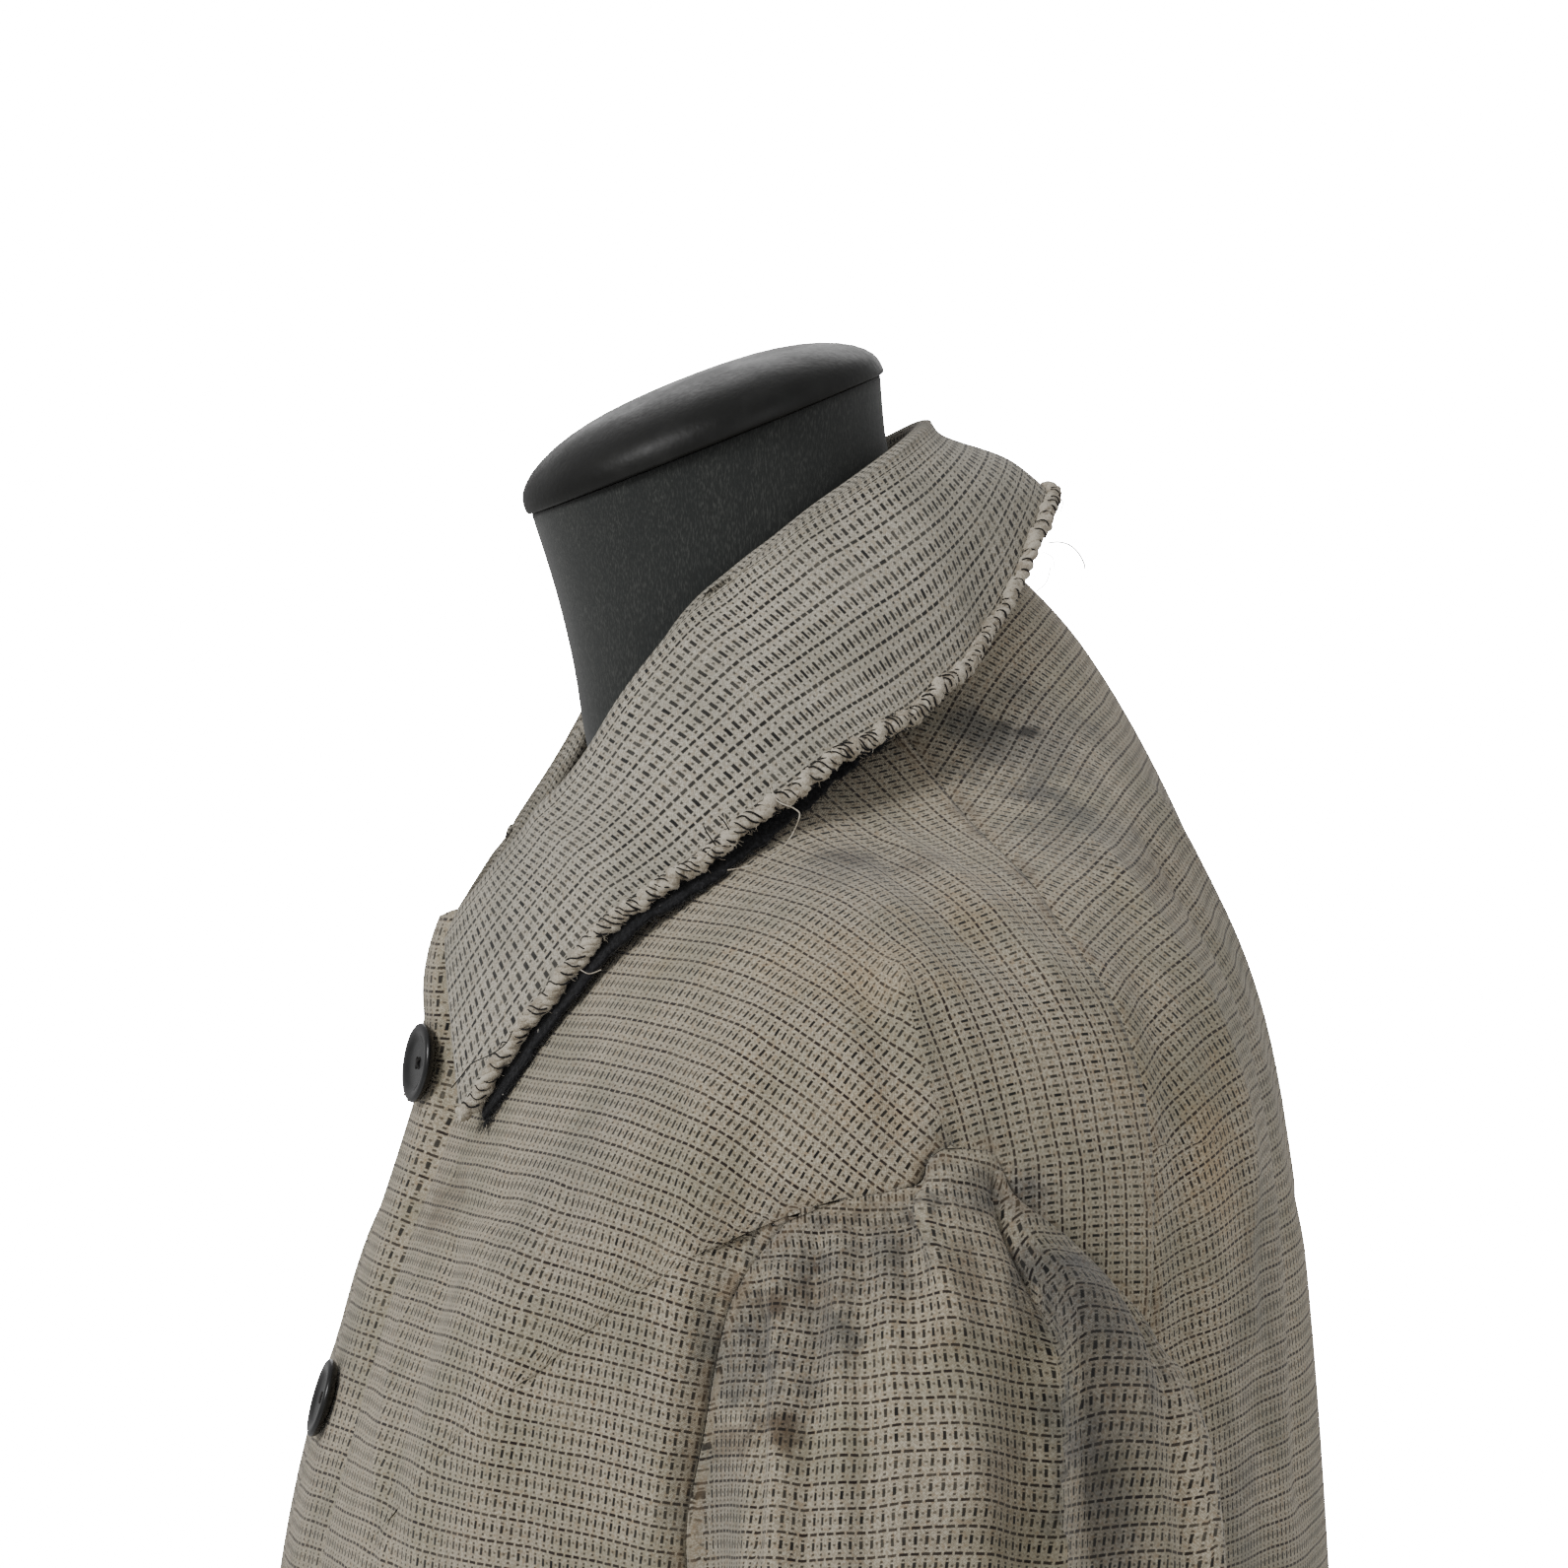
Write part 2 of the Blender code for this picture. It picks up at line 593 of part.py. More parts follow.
def collar_sections(length, trim):
    # The points of the collar's section, from the neckline, over the fold, to the outer edge less the trim.
    table = collar_table(length)
    angle = np.radians(table[:, 0])
    fold, edge = table[:, 1:4], table[:, 4:7]
    seam = body_point(angle, np.zeros_like(angle))
    out = fold - np.array([*COLLAR_CENTRE, 0.0])
    out[:, 2] = 0
    out = unit(out)
    down = np.array([0.0, 0.0, -1.0])
    shoulder = fold + (out + down) * ROLL_RADIUS
    fall = edge - shoulder
    bulge = unit(out - down)
    front = np.abs(2 * length - 1)
    return np.stack(
        [
            seam - out * (COLLAR_SEAM_IN + COLLAR_LAP_IN * smooth_step(0.78, 0.95, front))[:, None],
            fold + (down - out) * ROLL_RADIUS,
            fold,
            shoulder,
            shoulder + fall * 0.5 + bulge * table[:, 7:8],
            edge - unit(fall) * trim,
        ]
    )


def collar_point(length, width, trim=0.0, sink=None):
    # width is 0 at the neckline, 0.4 at the fold and 1 at the outer edge. sink gives how far inside the
    # fold the surface lies.
    made = through_sections(collar_sections(length, trim), width)
    if sink is None:
        return made
    step = 0.004

    def at(along, across):
        return through_sections(collar_sections(np.clip(along, 0, 1), trim), np.clip(across, 0, 1))

    lengthwise = at(length + step, width) - at(length - step, width)
    across = at(length, width + step) - at(length, width - step)
    normal = unit(np.cross(across, lengthwise))
    return made + normal * sink[:, None]


def collar_outward(place):
    return Vector((place.x, place.y - COLLAR_CENTRE[1], 0.0))


def collar_piece(name, columns, rows, point, finish, collection):
    cloth = bmesh.new()
    placed_grid(cloth, columns, rows, point)
    return cloth_object(name, cloth, finish, collar_outward, collection, COLLAR_WALL)


def collar_upper(finish, collection):
    def point(along, across):
        return collar_point(along, across, 2 * FRAY_RADIUS)

    collar_piece("collar_upper", 36, 10, point, finish, collection)


def collar_under(finish, collection):
    def point(along, across):
        length = np.clip(along, UNDER_END_IN, 1 - UNDER_END_IN)
        start = 0.52 + 0.26 * smooth_step(0.30, 0.62, np.abs(2 * length - 1))
        width = start + (1 - start) * across
        lift = collar_table(length)[:, 8]
        sink = COLLAR_WALL + COLLAR_PLY_GAP + lift * smooth_step(0.45, 1.0, width)
        trim = UNDER_TRIM - UNDER_REACH * smooth_step(0.42, 0.72, np.abs(2 * length - 1))
        return collar_point(length, width, trim[:, None], sink)

    collar_piece("collar_under", 36, 6, point, finish, collection)


def collar_fray(finish, collection):
    # The frayed edge is a soft roll, so it is a tube along the outer edge that waves a little.
    count = 58
    along = np.linspace(0.004, 0.996, count)
    outer = collar_point(along, np.ones(count), FRAY_RADIUS - FRAY_GAP)
    wave = FRAY_WAVE * np.sin(along * FRAY_WAVES * 2 * math.pi)
    curve = bpy.data.curves.new("collar_frayed_edge", "CURVE")
    curve.dimensions = "3D"
    curve.bevel_depth = FRAY_RADIUS
    curve.bevel_resolution = 1
    curve.use_fill_caps = True
    line = curve.splines.new("POLY")
    line.points.add(count - 1)
    for point, place, height in zip(line.points, outer, wave):
        point.co = (place[0], place[1], place[2] + height, 1.0)
    curve.materials.append(finish)
    made = bpy.data.objects.new("collar_frayed_edge", curve)
    collection.objects.link(made)


def buttons(finish, collection):
    # Each is a turned disc with a raised rim, laid on the left front along the centre line.
    profile = [
        (0.0, BUTTON_THICK * 0.62),
        (BUTTON_RADIUS * 0.66, BUTTON_THICK * 0.66),
        (BUTTON_RADIUS * 0.76, BUTTON_THICK * 0.95),
        (BUTTON_RADIUS * 0.88, BUTTON_THICK),
        (BUTTON_RADIUS, BUTTON_THICK * 0.60),
        (BUTTON_RADIUS * 0.86, 0.0),
        (0.0, 0.0),
    ]
    levels = np.linspace(0.3, HEM_LEVEL, 2000)
    heights = body_base(np.zeros(2000), levels)[:, 2]
    turn = np.linspace(0, 2 * math.pi, 24)
    disc_x = np.outer([1.0, 0.6], np.cos(turn)).ravel() * BUTTON_RADIUS
    disc_z = np.outer([1.0, 0.6], np.sin(turn)).ravel() * BUTTON_RADIUS
    for number in range(BUTTON_COUNT):
        z = BUTTON_TOP_Z - number * BUTTON_STEP
        level = np.interp(-z, -heights, levels)
        width = through(BODY_TABLE, np.array([level]))[0, 0]
        near = np.array([level - BUTTON_SPAN, level, level + BUTTON_SPAN])
        spine = body_point(np.full(3, BUTTON_X / width), near)
        beside = body_point((BUTTON_X + np.array([-0.008, 0.008])) / width, near[[1, 1]])
        facing = Vector(np.cross(beside[1] - beside[0], spine[0] - spine[2])).normalized()
        under = body_point((BUTTON_X + disc_x) / width, np.interp(-z - disc_z, -heights, levels))
        proud = float(np.max((under - spine[1]) @ np.array(facing)))
        made = turned("button_%d" % (number + 1), profile, 18, finish, collection)
        made.location = Vector(spine[1]) + facing * (proud + BUTTON_GAP)
        made.rotation_mode = "QUATERNION"
        made.rotation_quaternion = facing.to_track_quat("Z", "Y")


def turned(name, profile, steps, finish, collection):
    # A profile of radius and height, turned round its own upright axis.
    mesh = bpy.data.meshes.new(name)
    edge = bmesh.new()
    points = [edge.verts.new((radius, 0.0, height)) for radius, height in profile]
    for first, second in zip(points, points[1:]):
        edge.edges.new((first, second))
    edge.to_mesh(mesh)
    edge.free()
    mesh.materials.append(finish)
    made = bpy.data.objects.new(name, mesh)
    collection.objects.link(made)
    turn = made.modifiers.new("turn", "SCREW")
    turn.steps = steps
    turn.render_steps = steps
    turn.use_merge_vertices = True
    turn.merge_threshold = 0.00001
    turn.use_smooth_shade = True
    return made


def form_section(level, inset, count):
    angle = np.arange(count) * 2 * math.pi / count
    level = np.full(count, level)
    base = body_base(angle, level)
    return base - body_normal(angle, level) * inset[:, None]


def form_torso(finish, collection):
    # The torso is the body surface moved in: close under the shoulders, well clear elsewhere. Above the
    # neckline it draws in to the neck, whose top is cut at the tilt of the cap.
    count = 28
    angle = np.arange(count) * 2 * math.pi / count
    side = np.abs(np.sin(angle)) ** 1.5
    ahead = smooth_step(0.55, 0.95, np.cos(angle))
    rings = []
    top = NECK_TOP
    for down, wide, deep, tilt in NECK_RINGS:
        middle = top + Vector((0.0, down * NECK_LEAN, -down))
        fore = Vector((0.0, -math.cos(math.radians(tilt)), -math.sin(math.radians(tilt)))) * deep
        rings.append([middle + Vector((wide * math.sin(a), 0, 0)) + fore * math.cos(a) for a in angle])
    for level, close, wide_in in FORM_RINGS:
        inset = WALL + FORM_GAP + close + wide_in * side + FORM_FRONT_IN * ahead
        rings.append([Vector(place) for place in form_section(level, inset, count)])
    cloth = bmesh.new()
    made = [[cloth.verts.new(place) for place in ring] for ring in rings]
    for upper, lower in zip(made, made[1:]):
        bmesh.ops.bridge_loops(cloth, edges=ring_edges(cloth, upper) + ring_edges(cloth, lower))
    cloth.faces.new(made[0])
    cloth.faces.new(made[-1])
    bmesh.ops.recalc_face_normals(cloth, faces=cloth.faces)
    mesh = bpy.data.meshes.new("form_torso")
    cloth.to_mesh(mesh)
    cloth.free()
    mesh.shade_smooth()
    mesh.materials.append(finish)
    collection.objects.link(bpy.data.objects.new("form_torso", mesh))


def ring_edges(cloth, ring):
    edges = []
    for first, second in zip(ring, ring[1:] + ring[:1]):
        found = cloth.edges.get((first, second))
        edges.append(found or cloth.edges.new((first, second)))
    return edges


def form_cap(finish, collection):
    profile = [
        (0.0, CAP_RISE),
        (CAP_EDGE * 0.42, CAP_RISE * 0.95),
        (CAP_EDGE * 0.74, CAP_RISE * 0.75),
        (CAP_EDGE * 0.93, CAP_RISE * 0.48),
        (CAP_EDGE, CAP_RISE * 0.24),
        (CAP_EDGE, CAP_RISE * 0.06),
        (CAP_EDGE * 0.985, 0.0),
        (0.0, 0.0),
    ]
    made = turned("form_neck_cap", profile, 30, finish, collection)
    made.location = NECK_TOP + Vector((0.0, 0.0, 0.0003))
    made.rotation_euler = (NECK_TILT, 0.0, 0.0)


def form_stand(finish, collection):
    base = [
        (0.0, BASE_THICK + 0.010),
        (0.034, BASE_THICK + 0.010),
        (0.045, BASE_THICK + 0.004),
        (BASE_RADIUS - 0.006, BASE_THICK - 0.003),
        (BASE_RADIUS, BASE_THICK - 0.008),
        (BASE_RADIUS, 0.0),
        (0.0, 0.0),
    ]
    turned("form_base", base, 40, finish, collection)
    low, high = BASE_THICK + 0.0103, FORM_LOW_Z - 0.0003
    pole = [(0.0, high), (POLE_RADIUS, high), (POLE_RADIUS, low), (0.0, low)]
    turned("form_pole", pole, 24, finish, collection)


def main():
    clear_scene()
    collection = bpy.data.collections.new(OBJECT_NAME)
    bpy.context.scene.collection.children.link(collection)
    cloth = material("woven_cloth", (0.30, 0.27, 0.23), 0.85)
    under = material("black_under_collar", (0.02, 0.02, 0.022), 0.8)
    fray = material("frayed_yarn", (0.42, 0.40, 0.35), 0.9)
    horn = material("black_button", (0.012, 0.012, 0.013), 0.28)
    form = material("charcoal_form_cloth", (0.035, 0.037, 0.04), 0.9)
    lacquer = material("black_cap", (0.012, 0.012, 0.013), 0.32)
    paint = material("black_stand", (0.015, 0.015, 0.016), 0.4)
    front_piece("front_left", 1, cloth, collection)
    front_piece("front_right", -1, cloth, collection)
    back_piece(cloth, collection)
    sleeve_piece("sleeve_left", False, cloth, collection)
    sleeve_piece("sleeve_right", True, cloth, collection)
    collar_upper(cloth, collection)
    collar_under(under, collection)
    collar_fray(fray, collection)
    buttons(horn, collection)
    form_torso(form, collection)
    form_cap(lacquer, collection)
    form_stand(paint, collection)


main()
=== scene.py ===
import math

import bmesh
import bpy
import numpy as np
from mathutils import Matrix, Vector, kdtree, noise


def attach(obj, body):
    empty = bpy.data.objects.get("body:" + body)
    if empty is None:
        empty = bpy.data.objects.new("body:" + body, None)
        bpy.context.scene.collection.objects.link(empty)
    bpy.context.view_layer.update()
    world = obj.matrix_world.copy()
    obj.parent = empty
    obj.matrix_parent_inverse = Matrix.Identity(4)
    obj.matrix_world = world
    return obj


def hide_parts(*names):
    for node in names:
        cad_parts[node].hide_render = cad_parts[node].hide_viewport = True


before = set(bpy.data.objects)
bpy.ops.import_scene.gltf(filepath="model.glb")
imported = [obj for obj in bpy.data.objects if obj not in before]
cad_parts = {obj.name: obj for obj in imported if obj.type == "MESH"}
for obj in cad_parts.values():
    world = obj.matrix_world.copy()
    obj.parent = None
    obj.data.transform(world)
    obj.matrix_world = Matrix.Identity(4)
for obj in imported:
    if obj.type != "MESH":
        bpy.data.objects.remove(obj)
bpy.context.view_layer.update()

print("hunting jacket: frame loaded")
dice = np.random.default_rng(11)
weldGap = 0.00001


# Curves through tables

def hermite(part, start, leave, end, arrive):
    square, cube = part**2, part**3
    return ((2 * cube - 3 * square + 1) * start + (cube - 2 * square + part) * leave
            + (3 * square - 2 * cube) * end + (cube - square) * arrive)


def through(rows, place):
    # a smooth curve through the rows of a table
    low = np.clip(np.floor(place).astype(int), 0, len(rows) - 2)
    part = (place - low).reshape(place.shape + (1,) * (rows.ndim - 1))
    before, start = rows[np.maximum(low - 1, 0)], rows[low]
    end, after = rows[low + 1], rows[np.minimum(low + 2, len(rows) - 1)]
    return hermite(part, start, (end - before) / 2, end, (after - start) / 2)


def throughSections(sections, place):
    # the same for whole sections: point i is read at its own place[i]
    rows = place * (len(sections) - 1)
    low = np.clip(np.floor(rows).astype(int), 0, len(sections) - 2)
    column = np.arange(sections.shape[1])
    start, end = sections[low, column], sections[low + 1, column]
    before = sections[np.maximum(low - 1, 0), column]
    after = sections[np.minimum(low + 2, len(sections) - 1), column]
    first = (low == 0)[:, None]
    leave = np.where(first, end - start, (end - before) / 2)
    return hermite((rows - low)[:, None], start, leave, end, (after - start) / 2)


def unit(vectors):
    return vectors / np.linalg.norm(vectors, axis=-1, keepdims=True)


def smoothStep(low, high, value):
    part = np.clip((value - low) / (high - low), 0.0, 1.0)
    return part * part * (3 - 2 * part)


def nearPath(across, up, path, halfWidth):
    # 1 on the line through the points and falling to 0 to each side of it
    nearest = np.full(np.shape(across), 1e9)
    for start, end in zip(path, path[1:]):
        runX, runY = end[0] - start[0], end[1] - start[1]
        awayX, awayY = across - start[0], up - start[1]
        along = np.clip((awayX * runX + awayY * runY) / (runX**2 + runY**2), 0.0, 1.0)
        apart = np.hypot(awayX - along * runX, awayY - along * runY)
        nearest = np.minimum(nearest, apart)
    return np.exp(-((nearest / halfWidth) ** 2))


def treeOf(points):
    # finds the nearest of the points quickly
    tree = kdtree.KDTree(len(points))
    for index, point in enumerate(points):
        tree.insert(point, index)
    tree.balance()
    return tree


# New meshes and objects

def newCloth():
    cloth = bmesh.new()
    cloth.loops.layers.uv.new("grain")
    return cloth


def linked(name, data):
    piece = bpy.data.objects.new(name, data)
    bpy.context.collection.objects.link(piece)
    return piece


def shapeObject(name, shape):
    mesh = bpy.data.meshes.new(name)
    shape.to_mesh(mesh)
    shape.free()
    mesh.shade_smooth()
    return linked(name, mesh)


# The body of the jacket: one surface, read at an angle round it and at a level down it

body = {
    # width, frontY, frontZ, sideY, sideZ, backY, backZ, square
    "levels": [
        (0.078, -0.1068, 1.306, -0.005, 1.374, 0.050, 1.447, 0.00),
        (0.118, -0.1075, 1.264, 0.000, 1.346, 0.093, 1.405, 0.00),
        (0.188, -0.1320, 1.195, 0.006, 1.318, 0.125, 1.340, 0.01),
        (0.222, -0.1545, 1.115, 0.013, 1.256, 0.147, 1.256, 0.03),
        (0.209, -0.1650, 1.030, 0.015, 1.040, 0.162, 1.090, 0.04),
        (0.204, -0.1700, 0.920, 0.012, 0.920, 0.164, 0.940, 0.04),
        (0.216, -0.1760, 0.815, 0.008, 0.815, 0.168, 0.820, 0.03),
        (0.232, -0.1830, 0.712, 0.005, 0.712, 0.178, 0.712, 0.03),
    ],
    # level and angle of the seam between front and back
    "backSeam": [(0.0, 114.5), (0.6, 112.8), (1.3, 111.8), (1.8, 112.2), (2.3, 113.2), (2.7, 114.6),
                 (3.0, 115.5), (3.3, 113.0), (3.6, 105.0)],
    "sideSeam": 93.0,
    # height, rise and half width of the button stand
    "placket": [(0.700, 0.0025, 0.028), (1.120, 0.0028, 0.028), (1.200, 0.0048, 0.028),
                (1.250, 0.0075, 0.024), (1.300, 0.0080, 0.0165)],
    # half width, depth and a path of angles and heights
    "folds": [
        (0.012, 0.0030, [(90, 1.305), (91, 1.262)]),
        (0.016, 0.0030, [(45, 1.215), (43, 1.000)]),
        (0.015, -0.0030, [(56, 1.200), (57, 0.980)]),
        (0.018, -0.0035, [(134, 1.220), (130, 1.000)]),
        (0.022, 0.0025, [(156, 1.215), (158, 1.000)]),
        (0.016, 0.0030, [(-45, 1.205), (-42, 1.000)]),
        (0.015, -0.0030, [(-57, 1.190), (-58, 0.980)]),
        (0.018, -0.0035, [(-136, 1.210), (-131, 1.000)]),
        (0.018, 0.0025, [(-158, 1.240), (-160, 1.000)]),
        (0.012, 0.0030, [(-90, 1.305), (-91, 1.262)]),
    ],
    # the finer creases, which only the cloth shown here has
    "creases": [
        (0.0040, -0.0022, [(12, 1.262), (10, 1.225), (10.5, 1.190), (11, 1.150), (10, 1.105)]),
        (0.0034, 0.0034, [(87.2, 1.304), (87.4, 1.290), (87.9, 1.272), (88.6, 1.258)]),
        (0.0045, -0.0026, [(83.6, 1.300), (85.0, 1.280), (85.8, 1.262)]),
        (0.0045, -0.0020, [(90.6, 1.290), (91.2, 1.268)]),
        (0.0045, 0.0016, [(81.5, 1.285), (82.5, 1.262)]),
        (0.0075, -0.0032, [(74.5, 1.280), (73, 1.250), (70, 1.205), (69, 1.160)]),
        (0.0065, 0.0026, [(67.5, 1.272), (66.5, 1.225), (65, 1.170), (64, 1.100)]),
        (0.0100, 0.0022, [(38, 1.225), (36, 1.150), (38, 1.080)]),
        (0.0080, -0.0022, [(30, 1.215), (28, 1.140)]),
        (0.0080, -0.0024, [(52, 1.235), (50, 1.170), (51, 1.100)]),
        (0.0050, 0.0018, [(20, 1.205), (24, 1.160), (30, 1.130)]),
        (0.0045, -0.0014, [(22, 1.240), (30, 1.232), (40, 1.236)]),
        (0.0110, -0.0032, [(121, 1.300), (119.5, 1.240), (119, 1.200)]),
        (0.0090, 0.0028, [(128, 1.335), (132, 1.300), (134, 1.255), (132, 1.200)]),
        (0.0090, -0.0026, [(141, 1.340), (145, 1.300), (146, 1.230), (143, 1.150)]),
        (0.0100, 0.0022, [(152, 1.350), (158, 1.310), (162, 1.240)]),
        (0.0120, -0.0026, [(168, 1.180), (172, 1.050), (170, 0.960)]),
        (0.0100, 0.0022, [(181, 1.150), (184, 1.000)]),
        (0.0070, 0.0018, [(98, 1.342), (102, 1.330), (107, 1.308)]),
        (0.0060, -0.0014, [(93, 1.332), (97, 1.318), (103, 1.300)]),
        (0.0040, 0.0026, [(-87.5, 1.303), (-88.8, 1.259)]),
        (0.0070, -0.0028, [(-74, 1.272), (-71, 1.215), (-69, 1.150)]),
        (0.0090, 0.0020, [(-40, 1.220), (-37, 1.120)]),
        (0.0080, -0.0022, [(-27, 1.190), (-30, 1.100)]),
        (0.0110, -0.0028, [(-122, 1.290), (-120, 1.200)]),
        (0.0090, 0.0026, [(-131, 1.330), (-136, 1.270), (-134, 1.190)]),
        (0.0090, -0.0022, [(-146, 1.330), (-150, 1.240), (-147, 1.140)]),
        (0.0110, 0.0022, [(-166, 1.210), (-169, 1.060)]),
        (0.0060, -0.0024, [(70, 1.040), (60, 1.010), (48, 1.004)]),
        (0.0060, 0.0022, [(78, 1.010), (66, 0.975), (55, 0.965)]),
        (0.0060, -0.0024, [(-72, 1.036), (-61, 1.008), (-50, 1.000)]),
        (0.0060, -0.0024, [(112, 1.050), (124, 1.015), (136, 1.006)]),
        (0.0060, -0.0024, [(-110, 1.048), (-121, 1.016), (-134, 1.000)]),
    ],
    # angle, half width, height where it starts and depth at the hem
    "flutes": [
        (28, 0.026, 1.02, 0.006), (52, 0.022, 1.00, -0.005), (76, 0.026, 0.96, 0.008),
        (106, 0.026, 0.98, -0.006), (130, 0.028, 1.04, 0.008), (154, 0.022, 1.00, -0.006),
        (179, 0.026, 1.02, 0.007), (-31, 0.026, 1.00, 0.006), (-56, 0.024, 1.03, -0.006),
        (-80, 0.026, 0.98, 0.007), (-108, 0.024, 0.96, -0.005), (-133, 0.027, 1.02, 0.007),
        (-156, 0.022, 0.98, -0.005),
    ],
    "girthRadius": 0.19,
    "lap": 0.010,
    "underlap": 0.032,
    "lapDrop": 0.0044,
    "wall": 0.0014,
    "seamDip": 0.0002,
    "hemDepth": 0.028,
    # the strip's top corner stands up a little and rolls back
    "cornerUp": 0.013,
    "cornerBack": 0.006,
    "cornerRound": 0.010,
    # the cloth is nipped together over the sleeve's top: angle and height where that ends
    "nip": (87.4, 1.300),
    "pucker": 0.0007,
    # levels in a metre of cloth near the hem
    "hemLevels": 9.6,
    # columns of each grid: coarse to lay the cut flat, fine for the cloth that shows
    "coarse": {"detail": 2, "chest": 30, "wedge": 10, "back": 48},
    "fine": {"detail": 5, "chest": 110, "wedge": 30, "back": 150},
}
bodyTable = np.array(body["levels"])
hemLevel = float(len(bodyTable) - 1)
levelStep = 0.00001


def bodyBase(angle, level):
    width, frontY, frontZ, sideY, sideZ, backY, backZ, square = through(bodyTable, level).T
    forward, sideways = np.cos(angle), np.sin(angle)
    x = width * (sideways + square * np.sin(3 * angle)) / (1 - square)
    along = (forward - square * np.cos(3 * angle)) / (1 - square)
    reach = np.where(forward > 0, sideY - frontY, backY - sideY)
    drop = np.where(forward > 0, frontZ, backZ) - sideZ
    return np.stack([x, sideY - reach * along, sideZ + drop * forward**2], axis=-1)


def bodyNormal(angle, level):
    step = 0.002
    roundBody = bodyBase(angle + step, level) - bodyBase(angle - step, level)
    downBody = (bodyBase(angle, np.minimum(level + step, hemLevel))
                - bodyBase(angle, np.maximum(level - step, 0)))
    return unit(np.cross(downBody, roundBody))


def turnFrom(angle, degrees):
    return np.remainder(angle - math.radians(degrees) + math.pi, 2 * math.pi) - math.pi


def bodyFolds(angle, base):
    height = base[..., 2]
    heights, rises, halfWidths = np.array(body["placket"]).T
    across = np.where(base[..., 1] < 0, base[..., 0], 1.0) / np.interp(height, heights, halfWidths)
    total = np.interp(height, heights, rises) * np.exp(-(across**6))
    radius = body["girthRadius"]
    for halfWidth, depth, path in body["folds"] + body["creases"]:
        turn = turnFrom(angle, path[0][0]) * radius
        line = [(math.radians(degrees - path[0][0]) * radius, z) for degrees, z in path]
        total += depth * nearPath(turn, height, line, halfWidth)
    low = body["levels"][-1][4]
    for degrees, halfWidth, startZ, depth in body["flutes"]:
        opened = np.clip((startZ - height) / (startZ - low), 0.0, 1.0)
        turn = turnFrom(angle, degrees) * radius
        total += depth * opened**1.3 * np.exp(-((turn / halfWidth) ** 2))
    return total


def bodyPoint(angle, level, lift=0.0, folded=True):
    base = bodyBase(angle, level)
    raised = (bodyFolds(angle, base) if folded else np.zeros_like(angle)) + lift
    return base + bodyNormal(angle, level) * raised[..., None]


def angleAt(y, level):
    _, frontY, _, sideY, _, backY, _, square = through(bodyTable, level).T
    reach = np.where(y < sideY, sideY - frontY, backY - sideY)
    along = np.clip((sideY - y) / reach, -1.0, 1.0) * (1 - square)
    forward = along.copy()
    for _ in range(12):
        value = forward * (1 + 3 * square) - 4 * square * forward**3 - along
        forward = forward - value / (1 + 3 * square - 12 * square * forward**2)
    return np.arccos(np.clip(forward, -1.0, 1.0))


def onBody(y, z):
    low, high = np.full_like(y, 2.0), np.full_like(y, 4.9)
    for _ in range(40):
        middle = (low + high) / 2
        above = bodyBase(angleAt(y, middle), middle)[..., 2] > z
        low, high = np.where(above, middle, low), np.where(above, high, middle)
    return angleAt(y, low), low


# The armhole as it is seen from the side

armhole = {
    # place along the branch, y and z
    "front": [(0.000, 0.0200, 1.0320), (0.111, -0.0160, 1.0460), (0.222, -0.0480, 1.0860),
              (0.333, -0.0610, 1.1340), (0.444, -0.0565, 1.1760), (0.540, -0.0515, 1.2045),
              (0.600, -0.0465, 1.2170), (0.667, -0.0395, 1.2270), (0.720, -0.0330, 1.2345),
              (0.780, -0.0250, 1.2382), (0.850, -0.0140, 1.2405), (0.910, -0.0040, 1.2428),
              (0.950, 0.0045, 1.2452), (0.975, 0.0066, 1.2515), (1.000, 0.0110, 1.2548)],
    "back": [(0.000, 0.0110, 1.2548), (0.050, 0.0190, 1.2546), (0.090, 0.0255, 1.2535),
             (0.115, 0.0290, 1.2485), (0.150, 0.0322, 1.2415), (0.200, 0.0385, 1.2335),
             (0.250, 0.0445, 1.2262), (0.300, 0.0545, 1.2185), (0.350, 0.0655, 1.2110),
             (0.400, 0.0735, 1.2020), (0.444, 0.0775, 1.1935), (0.556, 0.0820, 1.1600),
             (0.667, 0.0870, 1.1250), (0.778, 0.0820, 1.0830), (0.889, 0.0560, 1.0450),
             (1.000, 0.0200, 1.0320)],
    "samples": 241,
}


def armholeBranch(points, downwards):
    curve = through(np.array(points), np.linspace(0.0, len(points) - 1, 900))
    place = np.linspace(0.0, 1.0, armhole["samples"])
    y, z = [np.interp(place, curve[:, 0], curve[:, axis]) for axis in (1, 2)]
    angle, level = onBody(y, z)
    onlyOnward = np.maximum if downwards else np.minimum
    return angle, onlyOnward.accumulate(level)


armFront = armholeBranch(armhole["front"], False)
armBack = armholeBranch(armhole["back"], True)
armTopLevel, armTopAngle = float(armFront[1][-1]), float(armFront[0][-1])
armLowLevel = float(armFront[1][0])


def frontArmAngle(level):
    return np.interp(level, armFront[1][::-1], armFront[0][::-1])


def backArmAngle(level):
    return np.interp(level, armBack[1], armBack[0])


def backSeamAngle(level):
    table = np.array(body["backSeam"])
    curve = through(table, np.linspace(0.0, len(table) - 1, 141))
    return np.radians(np.interp(level, curve[:, 0], curve[:, 1]))


def wedgeTipLevel():
    levels = np.linspace(armTopLevel + 0.05, body["backSeam"][-1][0], 400)
    return float(levels[np.argmin(backSeamAngle(levels) > backArmAngle(levels))])


wedgeTip = wedgeTipLevel()


camera = {
    "azimuth": 81.0,
    "distance": 2.6,
    "height": 1.36,
    "lens": 189.8,
    "pixel": 0.00031,
    "middle": 795.5,
}


# Cloth pieces: fine grids on those surfaces, with the grain of the flat cut

